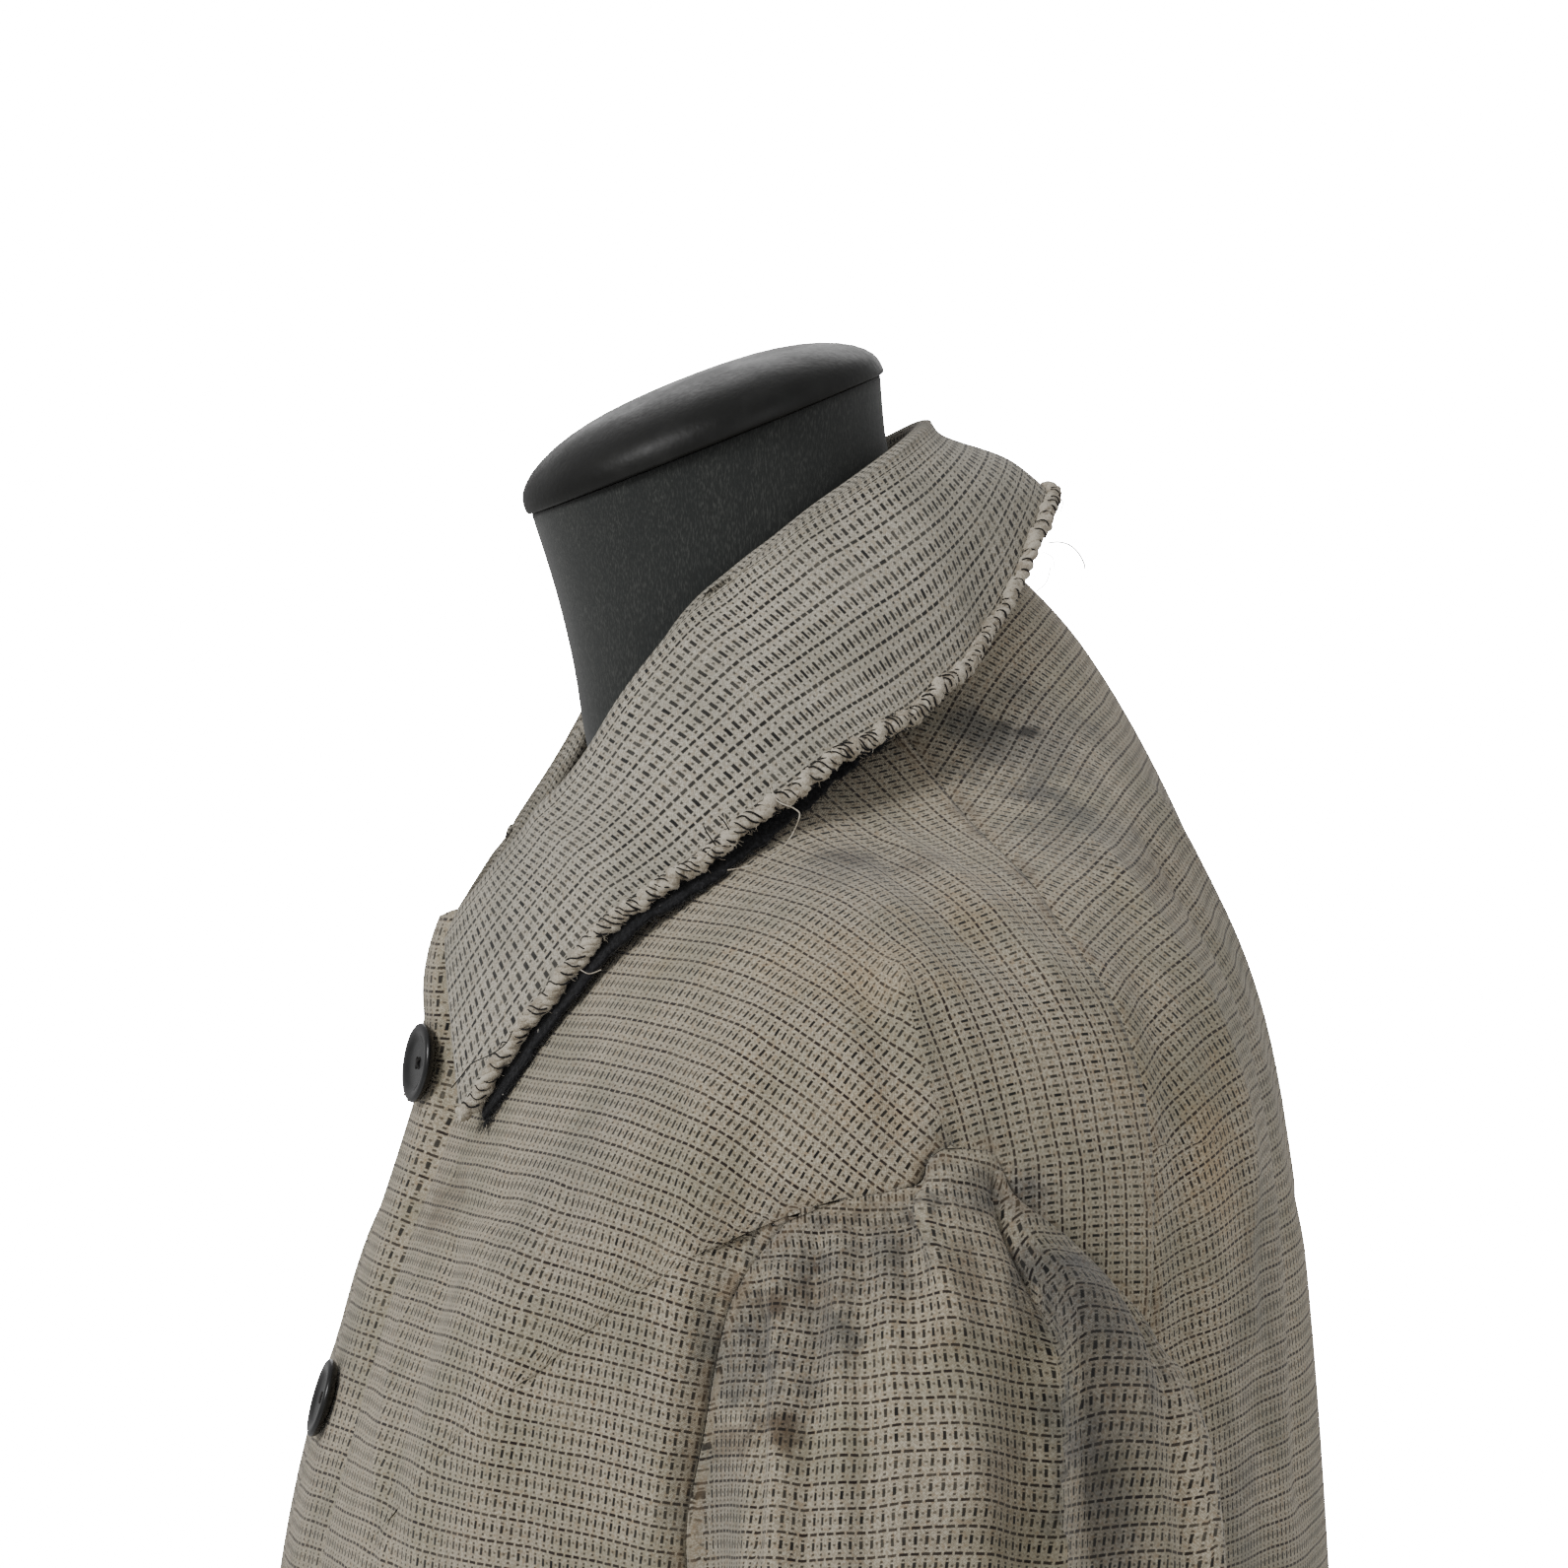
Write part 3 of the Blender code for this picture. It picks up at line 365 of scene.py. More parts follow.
def armLevels(branch, count):
    return np.interp(np.linspace(0, 1, count + 1), np.linspace(0, 1, len(branch)), branch)


def rowsOf(detail):
    upper = np.linspace(0.0, armTopLevel, 8 * detail + 1)[:-1]
    skirt = np.linspace(armLowLevel, hemLevel, 12 * detail + 1)[1:]
    backArm = np.sort(np.append(armLevels(armBack[1], 14 * detail), wedgeTip))
    front = np.concatenate([upper, armLevels(armFront[1][::-1], 14 * detail), skirt])
    back = np.concatenate([upper, backArm, skirt])
    return {"front": front, "back": back, "wedge": back[back <= wedgeTip]}


def levelOf(down, levels):
    return np.interp(down, np.linspace(0, 1, len(levels)), levels)


def gridPoints(columns, rows):
    across, down = np.meshgrid(np.linspace(0, 1, columns + 1), np.linspace(0, 1, rows + 1))
    return across.ravel(), down.ravel()


def addGrid(cloth, columns, rows, place, grain=None):
    made = bmesh.ops.create_grid(cloth, x_segments=columns, y_segments=rows, size=0.5)
    verts = made["verts"]
    flat = np.array([vert.co[:2] for vert in verts]) + 0.5
    for vert, spot in zip(verts, place(flat[:, 0], flat[:, 1])):
        vert.co = spot
    if grain:
        layer = cloth.loops.layers.uv["grain"]
        for vert, cut in zip(verts, grain(flat[:, 0], flat[:, 1])):
            for loop in vert.link_loops:
                loop[layer].uv = cut


# How the cloth's lines run, as seen from the left side: place across and up, and slope in degrees
clothLines = {
    "chest": [
        (-0.138, 1.173, 0), (-0.151, 1.129, 2), (-0.107, 1.204, 0), (-0.113, 1.225, 0),
        (-0.085, 1.188, 9), (-0.061, 1.179, 11), (-0.036, 1.157, 13), (-0.073, 1.225, 8),
        (-0.048, 1.235, 12), (-0.033, 1.317, 3), (-0.048, 1.300, 2), (-0.017, 1.326, 4),
        (-0.002, 1.312, 9), (0.017, 1.312, 24), (0.042, 1.304, 42), (0.011, 1.338, 20),
        (0.032, 1.342, 28), (0.023, 1.300, 36), (0.001, 1.272, 32), (0.023, 1.278, 42),
        (0.020, 1.256, 43), (0.032, 1.250, 45), (-0.014, 1.235, 42), (0.008, 1.241, 40),
        (-0.030, 1.266, 18), (-0.054, 1.269, 8), (0.040, 1.269, 44), (-0.030, 1.049, 6),
        (-0.116, 0.950, 2), (-0.054, 0.950, 3),
    ],
    "wedge": [
        (0.066, 1.266, 74), (0.082, 1.266, 79), (0.097, 1.256, 82), (0.088, 1.290, 67),
        (0.076, 1.309, 56), (0.063, 1.297, 60), (0.082, 1.321, 50), (0.101, 1.222, 89),
        (0.085, 1.228, 88), (0.051, 1.284, 62), (0.063, 1.328, 38), (0.053, 1.266, 68),
        (0.073, 1.337, 42), (0.057, 1.343, 33), (0.051, 1.309, 46),
    ],
    "back": [
        (0.076, 1.402, -43), (0.082, 1.393, -48), (0.076, 1.383, -55), (0.073, 1.362, -50),
        (0.070, 1.349, -38), (0.094, 1.365, -55), (0.101, 1.349, -57), (0.091, 1.337, -36),
        (0.119, 1.334, -61), (0.104, 1.318, -35), (0.097, 1.320, -58), (0.122, 1.318, -50),
        (0.107, 1.303, -63), (0.122, 1.301, -34), (0.136, 1.307, -56), (0.113, 1.287, -62),
        (0.130, 1.290, -36), (0.119, 1.272, -56), (0.138, 1.275, -36), (0.125, 1.253, -46),
        (0.147, 1.263, -31), (0.135, 1.219, -28), (0.156, 1.219, -22), (0.141, 1.157, -16),
        (0.159, 1.142, -10), (0.141, 0.950, 0),
    ],
    "sleeve": [
        (0.001, 1.204, 2), (0.020, 1.188, 3), (0.039, 1.173, -6), (0.051, 1.188, -9),
        (0.063, 1.204, 1), (0.073, 1.173, 2), (0.085, 1.142, 4), (0.097, 1.194, 16),
        (0.104, 1.173, 18), (0.101, 1.142, 17), (-0.011, 1.142, 3), (0.002, 1.115, 2),
        (0.032, 0.950, 0), (0.095, 0.950, 4),
    ],
    "reach": 0.020,
    # where the chest turns away from the side, its cells are laid a little wider
    "facing": 0.60,
    "narrowest": 0.64,
}


def seenAcross(points):
    # places in the view from the left side
    azimuth = math.radians(camera["azimuth"])
    depth = points[..., 0] * math.sin(azimuth) - points[..., 1] * math.cos(azimuth)
    scale = camera["distance"] / (camera["distance"] - depth)
    across = (points[..., 0] * math.cos(azimuth) + points[..., 1] * math.sin(azimuth)) * scale
    return across, (points[..., 2] - camera["height"]) * scale + camera["height"]


def lineTurns(flat, spots, lines, side):
    # how far the flat cut has to turn at each given place, so that its lines run there as they are seen
    azimuth = math.radians(camera["azimuth"])
    right = np.array([math.cos(azimuth), math.sin(azimuth), 0.0])
    near = np.array([math.sin(azimuth), -math.cos(azimuth), 0.0])
    spots, flat = spots * np.array([side, 1, 1]), flat * np.array([side, 1])
    stepX, stepY = np.gradient(spots, axis=1), np.gradient(spots, axis=0)
    flatX, flatY = np.gradient(flat, axis=1), np.gradient(flat, axis=0)
    across, up = seenAcross(spots)
    normal = np.cross(stepX, stepY)
    normal = normal / np.maximum(np.linalg.norm(normal, axis=-1, keepdims=True), 1e-12)
    hidden = (np.abs(normal @ near) < 0.10) | (spots[..., 0] < 0.012)
    found = []
    for wantAcross, wantUp, slope in lines:
        miss = (across - wantAcross) ** 2 + (up - wantUp) ** 2 + hidden * 1.0 - 0.002 * (spots @ near)
        cell = np.unravel_index(np.argmin(miss), miss.shape)
        slant = math.radians(slope)
        run = right * math.cos(slant) - np.array([0, 0, 1.0]) * math.sin(slant)
        run = run - near * (run @ normal[cell]) / (near @ normal[cell])
        parts = np.linalg.lstsq(np.stack([stepX[cell], stepY[cell]], 1), run, rcond=None)[0]
        way = parts[0] * flatX[cell] + parts[1] * flatY[cell]
        turn = math.atan2(way[1], way[0])
        turn = (turn + math.pi / 2) % math.pi - math.pi / 2
        found.append((*(spots[cell] * np.array([side, 1, 1])), side * turn))
    return found


neighbours = ((np.s_[:, :-1], np.s_[:, 1:]), (np.s_[:-1], np.s_[1:]))


def settled(numbers, flats, growths):
    # the flat places that fit the wanted step between every two neighbours best
    total = int(max(number.max() for number in numbers)) + 1
    sums, ends = np.zeros((total, total)), np.zeros((total, 2))
    for number, flat, growth in zip(numbers, flats, growths):
        for (here, there), grow in zip(neighbours, growth):
            first, second = number[here].ravel(), number[there].ravel()
            grow = grow.reshape(-1, 2)
            np.add.at(sums, (first, first), 1.0)
            np.add.at(sums, (second, second), 1.0)
            np.add.at(sums, (first, second), -1.0)
            np.add.at(sums, (second, first), -1.0)
            np.add.at(ends, first, -grow)
            np.add.at(ends, second, grow)
        hold = 1e-5
        np.add.at(sums, (number.ravel(), number.ravel()), hold)
        np.add.at(ends, number.ravel(), flat.reshape(-1, 2) * hold)
    unused = np.diag(sums) == 0
    sums[unused, unused] = 1.0
    laid = np.linalg.solve(sums, ends)
    return [laid[number] for number in numbers]


def steered(flats, spots, names, sides, joined, shapes=None):
    # the flat cuts, bent so that the cloth's lines run as seen; below the row joined the grids part
    numbers, total, growths = [], 0, []
    for flat in flats:
        numbers.append(np.arange(flat[..., 0].size).reshape(flat.shape[:2]) + total)
        total += flat[..., 0].size
    if len(flats) > 1:
        numbers[1][:joined, 0] = numbers[0][:joined, -1]
    for flat, spot, shape, name in zip(flats, spots, shapes or spots, names):
        turns = np.array([turn for side in sides
                          for turn in lineTurns(flat, spot, clothLines[name], side)])
        away = np.sum((spot[:, :, None, :] - turns[:, :3]) ** 2, axis=-1)
        weight = 1 / (away + clothLines["reach"] ** 2) ** 2
        turn = (weight @ turns[:, 3]) / weight.sum(-1)
        normal = np.cross(np.gradient(spot, axis=1), np.gradient(spot, axis=0))
        length = np.linalg.norm(normal, axis=-1)
        facing = np.abs(normal[..., 0]) / np.maximum(length, 1e-12)
        facing = np.where((length > 1e-9) & (name == "chest"), facing, 1.0)
        narrow = np.clip(facing / clothLines["facing"], clothLines["narrowest"], 1.0)
        growth = []
        for here, there in neighbours:
            middle = (turn[here] + turn[there]) / 2
            run = flat[there] - flat[here]
            true = np.linalg.norm(shape[there] - shape[here], axis=-1)
            run = run * (true / np.maximum(np.linalg.norm(run, axis=-1), 1e-6))[..., None]
            wide = (narrow[here] + narrow[there]) / 2
            growth.append(np.stack([(np.cos(middle) * run[..., 0] + np.sin(middle) * run[..., 1]) * wide,
                                    np.cos(middle) * run[..., 1] - np.sin(middle) * run[..., 0]], -1))
        growths.append(growth)
    return settled(numbers, flats, growths)


def hungFlat(spot, shape, side):
    # the flat cut of a tube that hangs: level lines stay level
    normal = unit(np.cross(np.gradient(spot, axis=1), np.gradient(spot, axis=0))) * -side
    level = unit(np.cross(np.array([0.0, 0.0, 1.0]), normal))
    upward = np.cross(normal, level)
    growth = []
    for here, there in neighbours:
        run = spot[there] - spot[here]
        true = np.linalg.norm(shape[there] - shape[here], axis=-1)
        more = (true / np.linalg.norm(run, axis=-1))[..., None]
        growth.append(np.stack([np.sum(run * unit(level[here] + level[there]), axis=-1),
                                np.sum(run * unit(upward[here] + upward[there]), axis=-1)], -1) * more)
    number = np.arange(spot[..., 0].size).reshape(spot.shape[:2])
    return settled([number], [spot[..., 1:]], [growth])[0]


def flatten(grids, target, names, sides, joined=0):
    # lays coarse copies of the grids flat, as the cut of the piece, and gives each grid's grain
    cloth = bmesh.new()
    for columns, rows, place in grids:
        addGrid(cloth, columns, rows, place)
    bmesh.ops.remove_doubles(cloth, verts=cloth.verts, dist=weldGap)
    piece = shapeObject("cut", cloth)
    mesh = piece.data
    mesh.uv_layers.new(name="cut")
    bpy.context.view_layer.objects.active = piece
    piece.select_set(True)
    bpy.ops.object.mode_set(mode="EDIT")
    bpy.ops.mesh.select_all(action="SELECT")
    bpy.ops.uv.unwrap(method="MINIMUM_STRETCH", iterations=40, margin=0.0)
    bpy.ops.object.mode_set(mode="OBJECT")
    points = np.empty(len(mesh.vertices) * 3)
    mesh.vertices.foreach_get("co", points)
    points = points.reshape(-1, 3)
    flat = np.zeros((len(points), 2))
    solidArea = flatArea = 0.0
    uvs = mesh.uv_layers["cut"].data
    for face in mesh.polygons:
        corners = np.array([uvs[loop].uv for loop in face.loop_indices])
        flat[[mesh.loops[loop].vertex_index for loop in face.loop_indices]] = corners
        turned = np.roll(corners, -1, axis=0)
        flatArea += abs(np.sum(corners[:, 0] * turned[:, 1] - corners[:, 1] * turned[:, 0])) / 2
        solidArea += face.area
    flat *= math.sqrt(solidArea / flatArea)
    # turned so that the cloth's own directions lie as they do on the jacket
    chosen, wanted = target(points)
    here, there = flat[chosen], wanted[chosen]
    spin = (here - here.mean(0)).T @ (there - there.mean(0))
    left, _, right = np.linalg.svd(spin)
    flat = (flat - here.mean(0)) @ (left @ right) + there.mean(0)
    size = flat.max(0) - flat.min(0)
    tree = treeOf(points)
    flats, spots = [], []
    for columns, rows, place in grids:
        across, down = gridPoints(columns, rows)
        spot = place(across, down)
        found = [tree.find(point)[1] for point in spot]
        flats.append(flat[found].reshape(rows + 1, columns + 1, 2))
        spots.append(spot.reshape(rows + 1, columns + 1, 3))
    flats = steered(flats, spots, names, sides, joined)
    bpy.data.objects.remove(piece, do_unlink=True)
    bpy.data.meshes.remove(mesh)
    return flats, (float(size[0]), float(size[1])), float(solidArea)


def sameLevel(grain, coarse, fine):
    # reads the grain of a coarse grid at the levels of a fine one
    def read(across, down):
        return grain(across, np.interp(levelOf(down, fine), coarse, np.linspace(0, 1, len(coarse))))

    return read


def grainOf(lattice):
    rows, columns = lattice.shape[0] - 1, lattice.shape[1] - 1

    def grain(across, down):
        x, y = across * columns, down * rows
        column = np.clip(x.astype(int), 0, columns - 1)
        row = np.clip(y.astype(int), 0, rows - 1)
        partX, partY = (x - column)[:, None], (y - row)[:, None]
        upper = lattice[row, column] * (1 - partX) + lattice[row, column + 1] * partX
        lower = lattice[row + 1, column] * (1 - partX) + lattice[row + 1, column + 1] * partX
        return upper * (1 - partY) + lower * partY

    return grain


def nearGrain(known):
    # the grain at any place, from a plane fitted through the laid places round it
    spots = np.concatenate([spot.reshape(-1, 3) for spot, _ in known])
    flats = np.concatenate([flat.reshape(-1, 2) for _, flat in known])
    _, kept = np.unique(np.round(spots, 4), axis=0, return_index=True)
    spots, flats = spots[kept], flats[kept]
    tree = treeOf(spots)

    def read(points):
        near = np.array([[found[1] for found in tree.find_n(point, 16)] for point in points])
        away = (spots[near] - points[:, None, :]) / 0.01
        weight = 1 / (np.sum(away**2, axis=-1) + 0.05) ** 2
        terms = np.concatenate([np.ones(near.shape + (1,)), away], axis=-1)
        sums = np.einsum("pn,pna,pnb->pab", weight, terms, terms)
        ends = np.einsum("pn,pna,pnc->pac", weight, terms, flats[near])
        sums[:, [1, 2, 3], [1, 2, 3]] += 1e-4 * weight.sum(-1)[:, None]
        return np.linalg.solve(sums, ends)[:, 0]

    return read


def distanceTo(points, lines):
    tree = treeOf(np.concatenate(lines))
    return np.array([tree.find(point)[2] for point in points])


def finishCloth(name, cloth, outward, wall, seams=(), stitches=(), hollowShades=None):
    # merges the grids, sinks the seams, and writes how far each point lies from seam and stitch lines
    # and how much painted shade it gets
    bmesh.ops.remove_doubles(cloth, verts=cloth.verts, dist=weldGap)
    bmesh.ops.recalc_face_normals(cloth, faces=cloth.faces)
    cloth.faces.ensure_lookup_table()
    face = cloth.faces[len(cloth.faces) // 2]
    if face.normal.dot(outward(face.calc_center_median())) < 0:
        bmesh.ops.reverse_faces(cloth, faces=cloth.faces)
    cloth.normal_update()
    points = np.array([vert.co[:] for vert in cloth.verts])
    marks = np.full((len(points), 3), 1.0)
    marks[:, 2] = 0.0
    if seams:
        marks[:, 0] = distanceTo(points, seams)
        close = np.exp(-((marks[:, 0] / 0.0075) ** 2))
        waves = np.array([noise.noise(Vector(point) * 150) + 0.6 * noise.noise(Vector(point) * 70)
                          for point in points])
        apart = 1 - np.exp(-((marks[:, 0] / 0.0018) ** 2))
        sunk = (body["seamDip"] * np.exp(-((marks[:, 0] / 0.0016) ** 2))
                + body["pucker"] * waves * close * apart)
        for vert, depth in zip(cloth.verts, sunk):
            vert.co -= vert.normal * depth
    if stitches:
        marks[:, 1] = distanceTo(points, stitches)
    # painted shade: how dark each point is painted in the hollow behind the sleeve's big fold
    if hollowShades:
        tree = treeOf(hollowShades[0])
        marks[:, 2] = hollowShades[1][[tree.find(point)[1] for point in points]]
    layer = cloth.verts.layers.float_vector.new("marks")
    for vert, mark in zip(cloth.verts, marks):
        vert[layer] = mark
    piece = shapeObject(name, cloth)
    solid = piece.modifiers.new("wall", "SOLIDIFY")
    solid.thickness = wall
    solid.offset = -1.0
    return piece


def awayFromAxis(spot):
    return Vector((spot.x, spot.y, 0.0))


def borderAngle(level):
    # where the chest's grid meets the wedge's, along the nip
    return armTopAngle - 0.032 * smoothStep(0.0, 0.30, armTopLevel - level)


def frontMaps(side, detail, folded):
    # the two grids of a front: the chest with its lap, and the wedge over the shoulder
    rows = rowsOf(detail)
    sideAngle = math.radians(body["sideSeam"])

    def lift(angle, level):
        if side > 0:
            return np.zeros_like(angle)
        x = bodyBase(angle, level)[..., 0]
        return -body["lapDrop"] * (1 - smoothStep(body["lap"] + 0.006, body["lap"] + 0.034, x))

    def place(angle, level):
        return bodyPoint(side * angle, level, lift(angle, level), folded)

    def innerEdge(level):
        edge = np.where(level < armTopLevel, borderAngle(level), frontArmAngle(level))
        return np.where(level > armLowLevel - levelStep, sideAngle, edge)

    def chest(across, down):
        level = levelOf(down, rows["front"])
        width = through(bodyTable, level)[:, 0]
        first = -(body["lap"] if side > 0 else body["underlap"]) / width
        angle = first + (innerEdge(level) - first) * across**1.3
        made = place(angle, level)
        if side > 0:
            # the strip's top corner
            near = 1 - smoothStep(0.016, 0.036, made[:, 0])
            up = np.clip(1 - level / 0.42, 0, 1)
            edge = np.clip(1 - (made[:, 0] + body["lap"]) / body["cornerRound"], 0, 1)
            made[:, 1] += body["cornerBack"] * up**2 * near
            made[:, 2] += (body["cornerUp"] * near - body["cornerRound"] * edge**2.2) * up**1.2
        return made

    def wedge(across, down):
        level = levelOf(down, rows["wedge"])
        start = np.where(level < armTopLevel, borderAngle(level), backArmAngle(level))
        end = np.maximum(backSeamAngle(level), start)
        return place(start + (end - start) * across, level)

    return chest, wedge, rows


def plainPart(inPart, top):
    # the cloth that hangs plain: the flat cut is turned to lie as that part hangs
    def target(points):
        chosen = inPart(points[:, 1]) & (points[:, 2] < top) & (points[:, 2] > 0.80)
        return chosen, points[:, [0, 2]]

    return target


def armholeLoop(turn):
    # angle and level on the body at each turn round the armhole
    samples = np.linspace(0, 1, armhole["samples"])
    part = np.abs(turn) / math.pi
    return [np.where(turn > 0, np.interp(1 - part, samples, ahead), np.interp(part, samples, behind))
            for ahead, behind in zip(armFront, armBack)]


def bodySeams():
    # the seam lines of both sides, as dense points
    lines = []
    for side in (1, -1):
        turn = np.linspace(-math.pi, math.pi, 1400)
        angle, level = armholeLoop(turn)
        lines.append(bodyPoint(side * angle, level))
        level = np.linspace(0.0, wedgeTip, 1100)
        lines.append(bodyPoint(side * backSeamAngle(level), level))
        level = np.linspace(armLowLevel, hemLevel, 900)
        lines.append(bodyPoint(np.full_like(level, side * math.radians(body["sideSeam"])), level))
    return lines


def hemLine():
    angle = np.linspace(-math.pi, math.pi, 4200)
    level = np.full_like(angle, hemLevel - body["hemDepth"] * body["hemLevels"])
    return [bodyPoint(angle, level)]


jacketSeams = bodySeams()
hemStitches = hemLine()
cuts = {}


def makeFront(name, side, node):
    coarse, fine = body["coarse"], body["fine"]
    chest, wedge, rows = frontMaps(side, coarse["detail"], False)
    grids = [(coarse["chest"], len(rows["front"]) - 1, chest),
             (coarse["wedge"], len(rows["wedge"]) - 1, wedge)]
    nipAngle, nipZ = math.radians(body["nip"][0]), body["nip"][1]
    heights = bodyBase(np.full(len(rows["wedge"]), nipAngle), rows["wedge"])[:, 2]
    joined = int(np.sum(heights > nipZ))
    target = plainPart(lambda y: y < -0.09, 1.22)
    laid, size, area = flatten(grids, target, ("chest", "wedge"), (side,), joined)
    known = []
    for (columns, rowCount, place), flat in zip(grids, laid):
        known.append((place(*gridPoints(columns, rowCount)).reshape(rowCount + 1, columns + 1, 3), flat))
    chestGrain = nearGrain([known[0], (known[1][0][:joined], known[1][1][:joined])])
    wedgeGrain = nearGrain([known[1], (known[0][0][:joined], known[0][1][:joined])])
    plainChest, plainWedge, _ = frontMaps(side, fine["detail"], False)
    chest, wedge, rows = frontMaps(side, fine["detail"], True)
    cloth = newCloth()
    addGrid(cloth, fine["chest"], len(rows["front"]) - 1, chest,
            lambda *spot: chestGrain(plainChest(*spot)))
    addGrid(cloth, fine["wedge"], len(rows["wedge"]) - 1, wedge,
            lambda *spot: wedgeGrain(plainWedge(*spot)))
    piece = finishCloth(name, cloth, awayFromAxis, body["wall"], jacketSeams, hemStitches)
    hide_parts(node)
    cuts[name] = (size, area)
    return piece


def makeBack():
    def panel(detail, folded):
        rows = rowsOf(detail)["back"]

        def place(across, down):
            level = levelOf(down, rows)
            edge = np.where(level < wedgeTip + levelStep, backSeamAngle(level), backArmAngle(level))
            edge = np.where(level > armLowLevel - levelStep, math.radians(body["sideSeam"]), edge)
            angle = math.pi + (math.pi - edge) * (2 * across - 1)
            return bodyPoint(angle, level, 0.0, folded)

        return place, rows

    place, coarse = panel(body["coarse"]["detail"], False)
    grids = [(body["coarse"]["back"], len(coarse) - 1, place)]
    lattices, size, area = flatten(grids, plainPart(lambda y: y > 0.10, 1.25), ("back",), (1, -1))
    place, fine = panel(body["fine"]["detail"], True)
    cloth = newCloth()
    addGrid(cloth, body["fine"]["back"], len(fine) - 1, place,
            sameLevel(grainOf(lattices[0]), coarse, fine))
    piece = finishCloth("back", cloth, awayFromAxis, body["wall"], jacketSeams, hemStitches)
    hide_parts("back")
    cuts["back"] = (size, area)
    return piece


# Sleeves

sleeve = {
    # innerX, innerZ, outerX, outerZ, frontY, backY: one row per ring, armhole to cuff
    "rings": [
        (0.2120, 1.029, 0.2450, 1.200, -0.052, 0.084),
        (0.2125, 1.020, 0.2600, 1.130, -0.058, 0.090),
        (0.2130, 1.008, 0.2710, 1.060, -0.061, 0.092),
        (0.2140, 0.990, 0.2790, 1.005, -0.061, 0.092),
        (0.2230, 0.900, 0.2970, 0.905, -0.060, 0.087),
        (0.2400, 0.810, 0.3150, 0.812, -0.064, 0.078),
        (0.2580, 0.718, 0.3300, 0.720, -0.068, 0.068),
    ],
    "flow": 0.016,
    "square": 0.04,
    # half width, depth and a path of angles and distances down the sleeve
    "folds": [
        (0.010, -0.0045, [(6, 0.020), (2, 0.100)]),
        (0.017, 0.0050, [(-22, 0.010), (-20, 0.260)]),
        (0.016, -0.0080, [(-58, 0.030), (-48, 0.230)]),
        (0.018, 0.0030, [(40, 0.050), (30, 0.250)]),
        (0.014, -0.0045, [(20, 0.300), (-30, 0.340)]),
        (0.014, 0.0040, [(70, 0.240), (20, 0.290)]),
        (0.014, 0.0040, [(-60, 0.360), (-10, 0.400)]),
    ],
    "creases": [
        (0.0060, 0.0050, [(-19, 0.010), (-19, 0.034), (-11, 0.064), (-9, 0.090), (-11, 0.130),
                          (-16, 0.190)]),
        (0.0055, 0.0045, [(-48, 0.050), (-44, 0.080), (-46, 0.140), (-51, 0.190)]),
        (0.0042, -0.0048, [(8, 0.004), (6.5, 0.020), (5, 0.036), (4, 0.052)]),
        (0.0045, 0.0028, [(14, 0.004), (13, 0.030), (12, 0.060)]),
        (0.0060, 0.0030, [(24, 0.014), (24, 0.060), (21, 0.120)]),
        (0.0050, -0.0036, [(19, 0.030), (18, 0.064), (17, 0.116), (14, 0.160)]),
        (0.0060, -0.0034, [(31, 0.030), (29, 0.080), (30, 0.140), (26, 0.190)]),
        (0.0050, 0.0026, [(40, 0.020), (38, 0.070), (39, 0.120)]),
        (0.0060, -0.0032, [(54, 0.038), (51, 0.080), (49, 0.130)]),
        (0.0060, 0.0026, [(63, 0.050), (60, 0.110)]),
        (0.0050, -0.0034, [(-60, 0.070), (-57, 0.120), (-58, 0.170)]),
        (0.0050, -0.0026, [(0, 0.090), (-2, 0.130), (-1, 0.190)]),
        (0.0030, -0.0020, [(12, 0.000), (2, 0.007), (-8, 0.006)]),
        (0.0070, 0.0036, [(75, 0.270), (30, 0.315), (-10, 0.320)]),
        (0.0070, -0.0036, [(60, 0.345), (10, 0.362), (-30, 0.352)]),
        (0.0070, 0.0032, [(-80, 0.300), (-50, 0.330)]),
        (0.0060, -0.0026, [(110, 0.330), (80, 0.350)]),
        (0.0080, -0.0026, [(150, 0.200), (140, 0.300)]),
        (0.0080, 0.0026, [(-140, 0.180), (-130, 0.300)]),
        (0.0070, 0.0024, [(30, 0.440), (24, 0.510)]),
        (0.0070, -0.0024, [(-40, 0.430), (-36, 0.515)]),
    ],
    # the big fold's edge: turn and distance down, with how deep and wide the drop behind it is
    "edge": [(-21.0, 0.000), (-21.0, 0.030), (-19.0, 0.046), (-17.0, 0.062), (-14.5, 0.100),
             (-17.0, 0.140), (-22.0, 0.200), (-27.0, 0.270), (-30.0, 0.340)],
    "edgeDepth": [(0.000, 0.000), (0.014, 0.003), (0.044, 0.014), (0.090, 0.018), (0.200, 0.017),
                  (0.280, 0.009), (0.340, 0.000)],
    "edgeWide": 3.6,
    "edgeOver": 0.0042,
    "edgeBack": 46.0,
    "edgeGain": 1.1,
    "deepest": 0.018,
    # share of the sleeve's length over which the folds and the edge grow from nothing
    "foldsFrom": 0.14,
    "edgeFrom": 0.07,
    # the grid's columns stand closest where the deep fold is
    "columns": [(0.00, 180), (0.14, 110), (0.28, 60), (0.44, 20), (0.54, -2), (0.60, -13), (0.78, -38),
                (0.84, -54), (0.90, -88), (1.00, -180)],
    "arcRadius": 0.06,
    "wall": 0.0014,
    "cuffLine": 0.965,
    "axis": (0.262, 0.012),
    # columns and rows: coarse to lay the cut flat, fine for the cloth that shows
    "coarse": (84, 48),
    "fine": (210, 170),
}


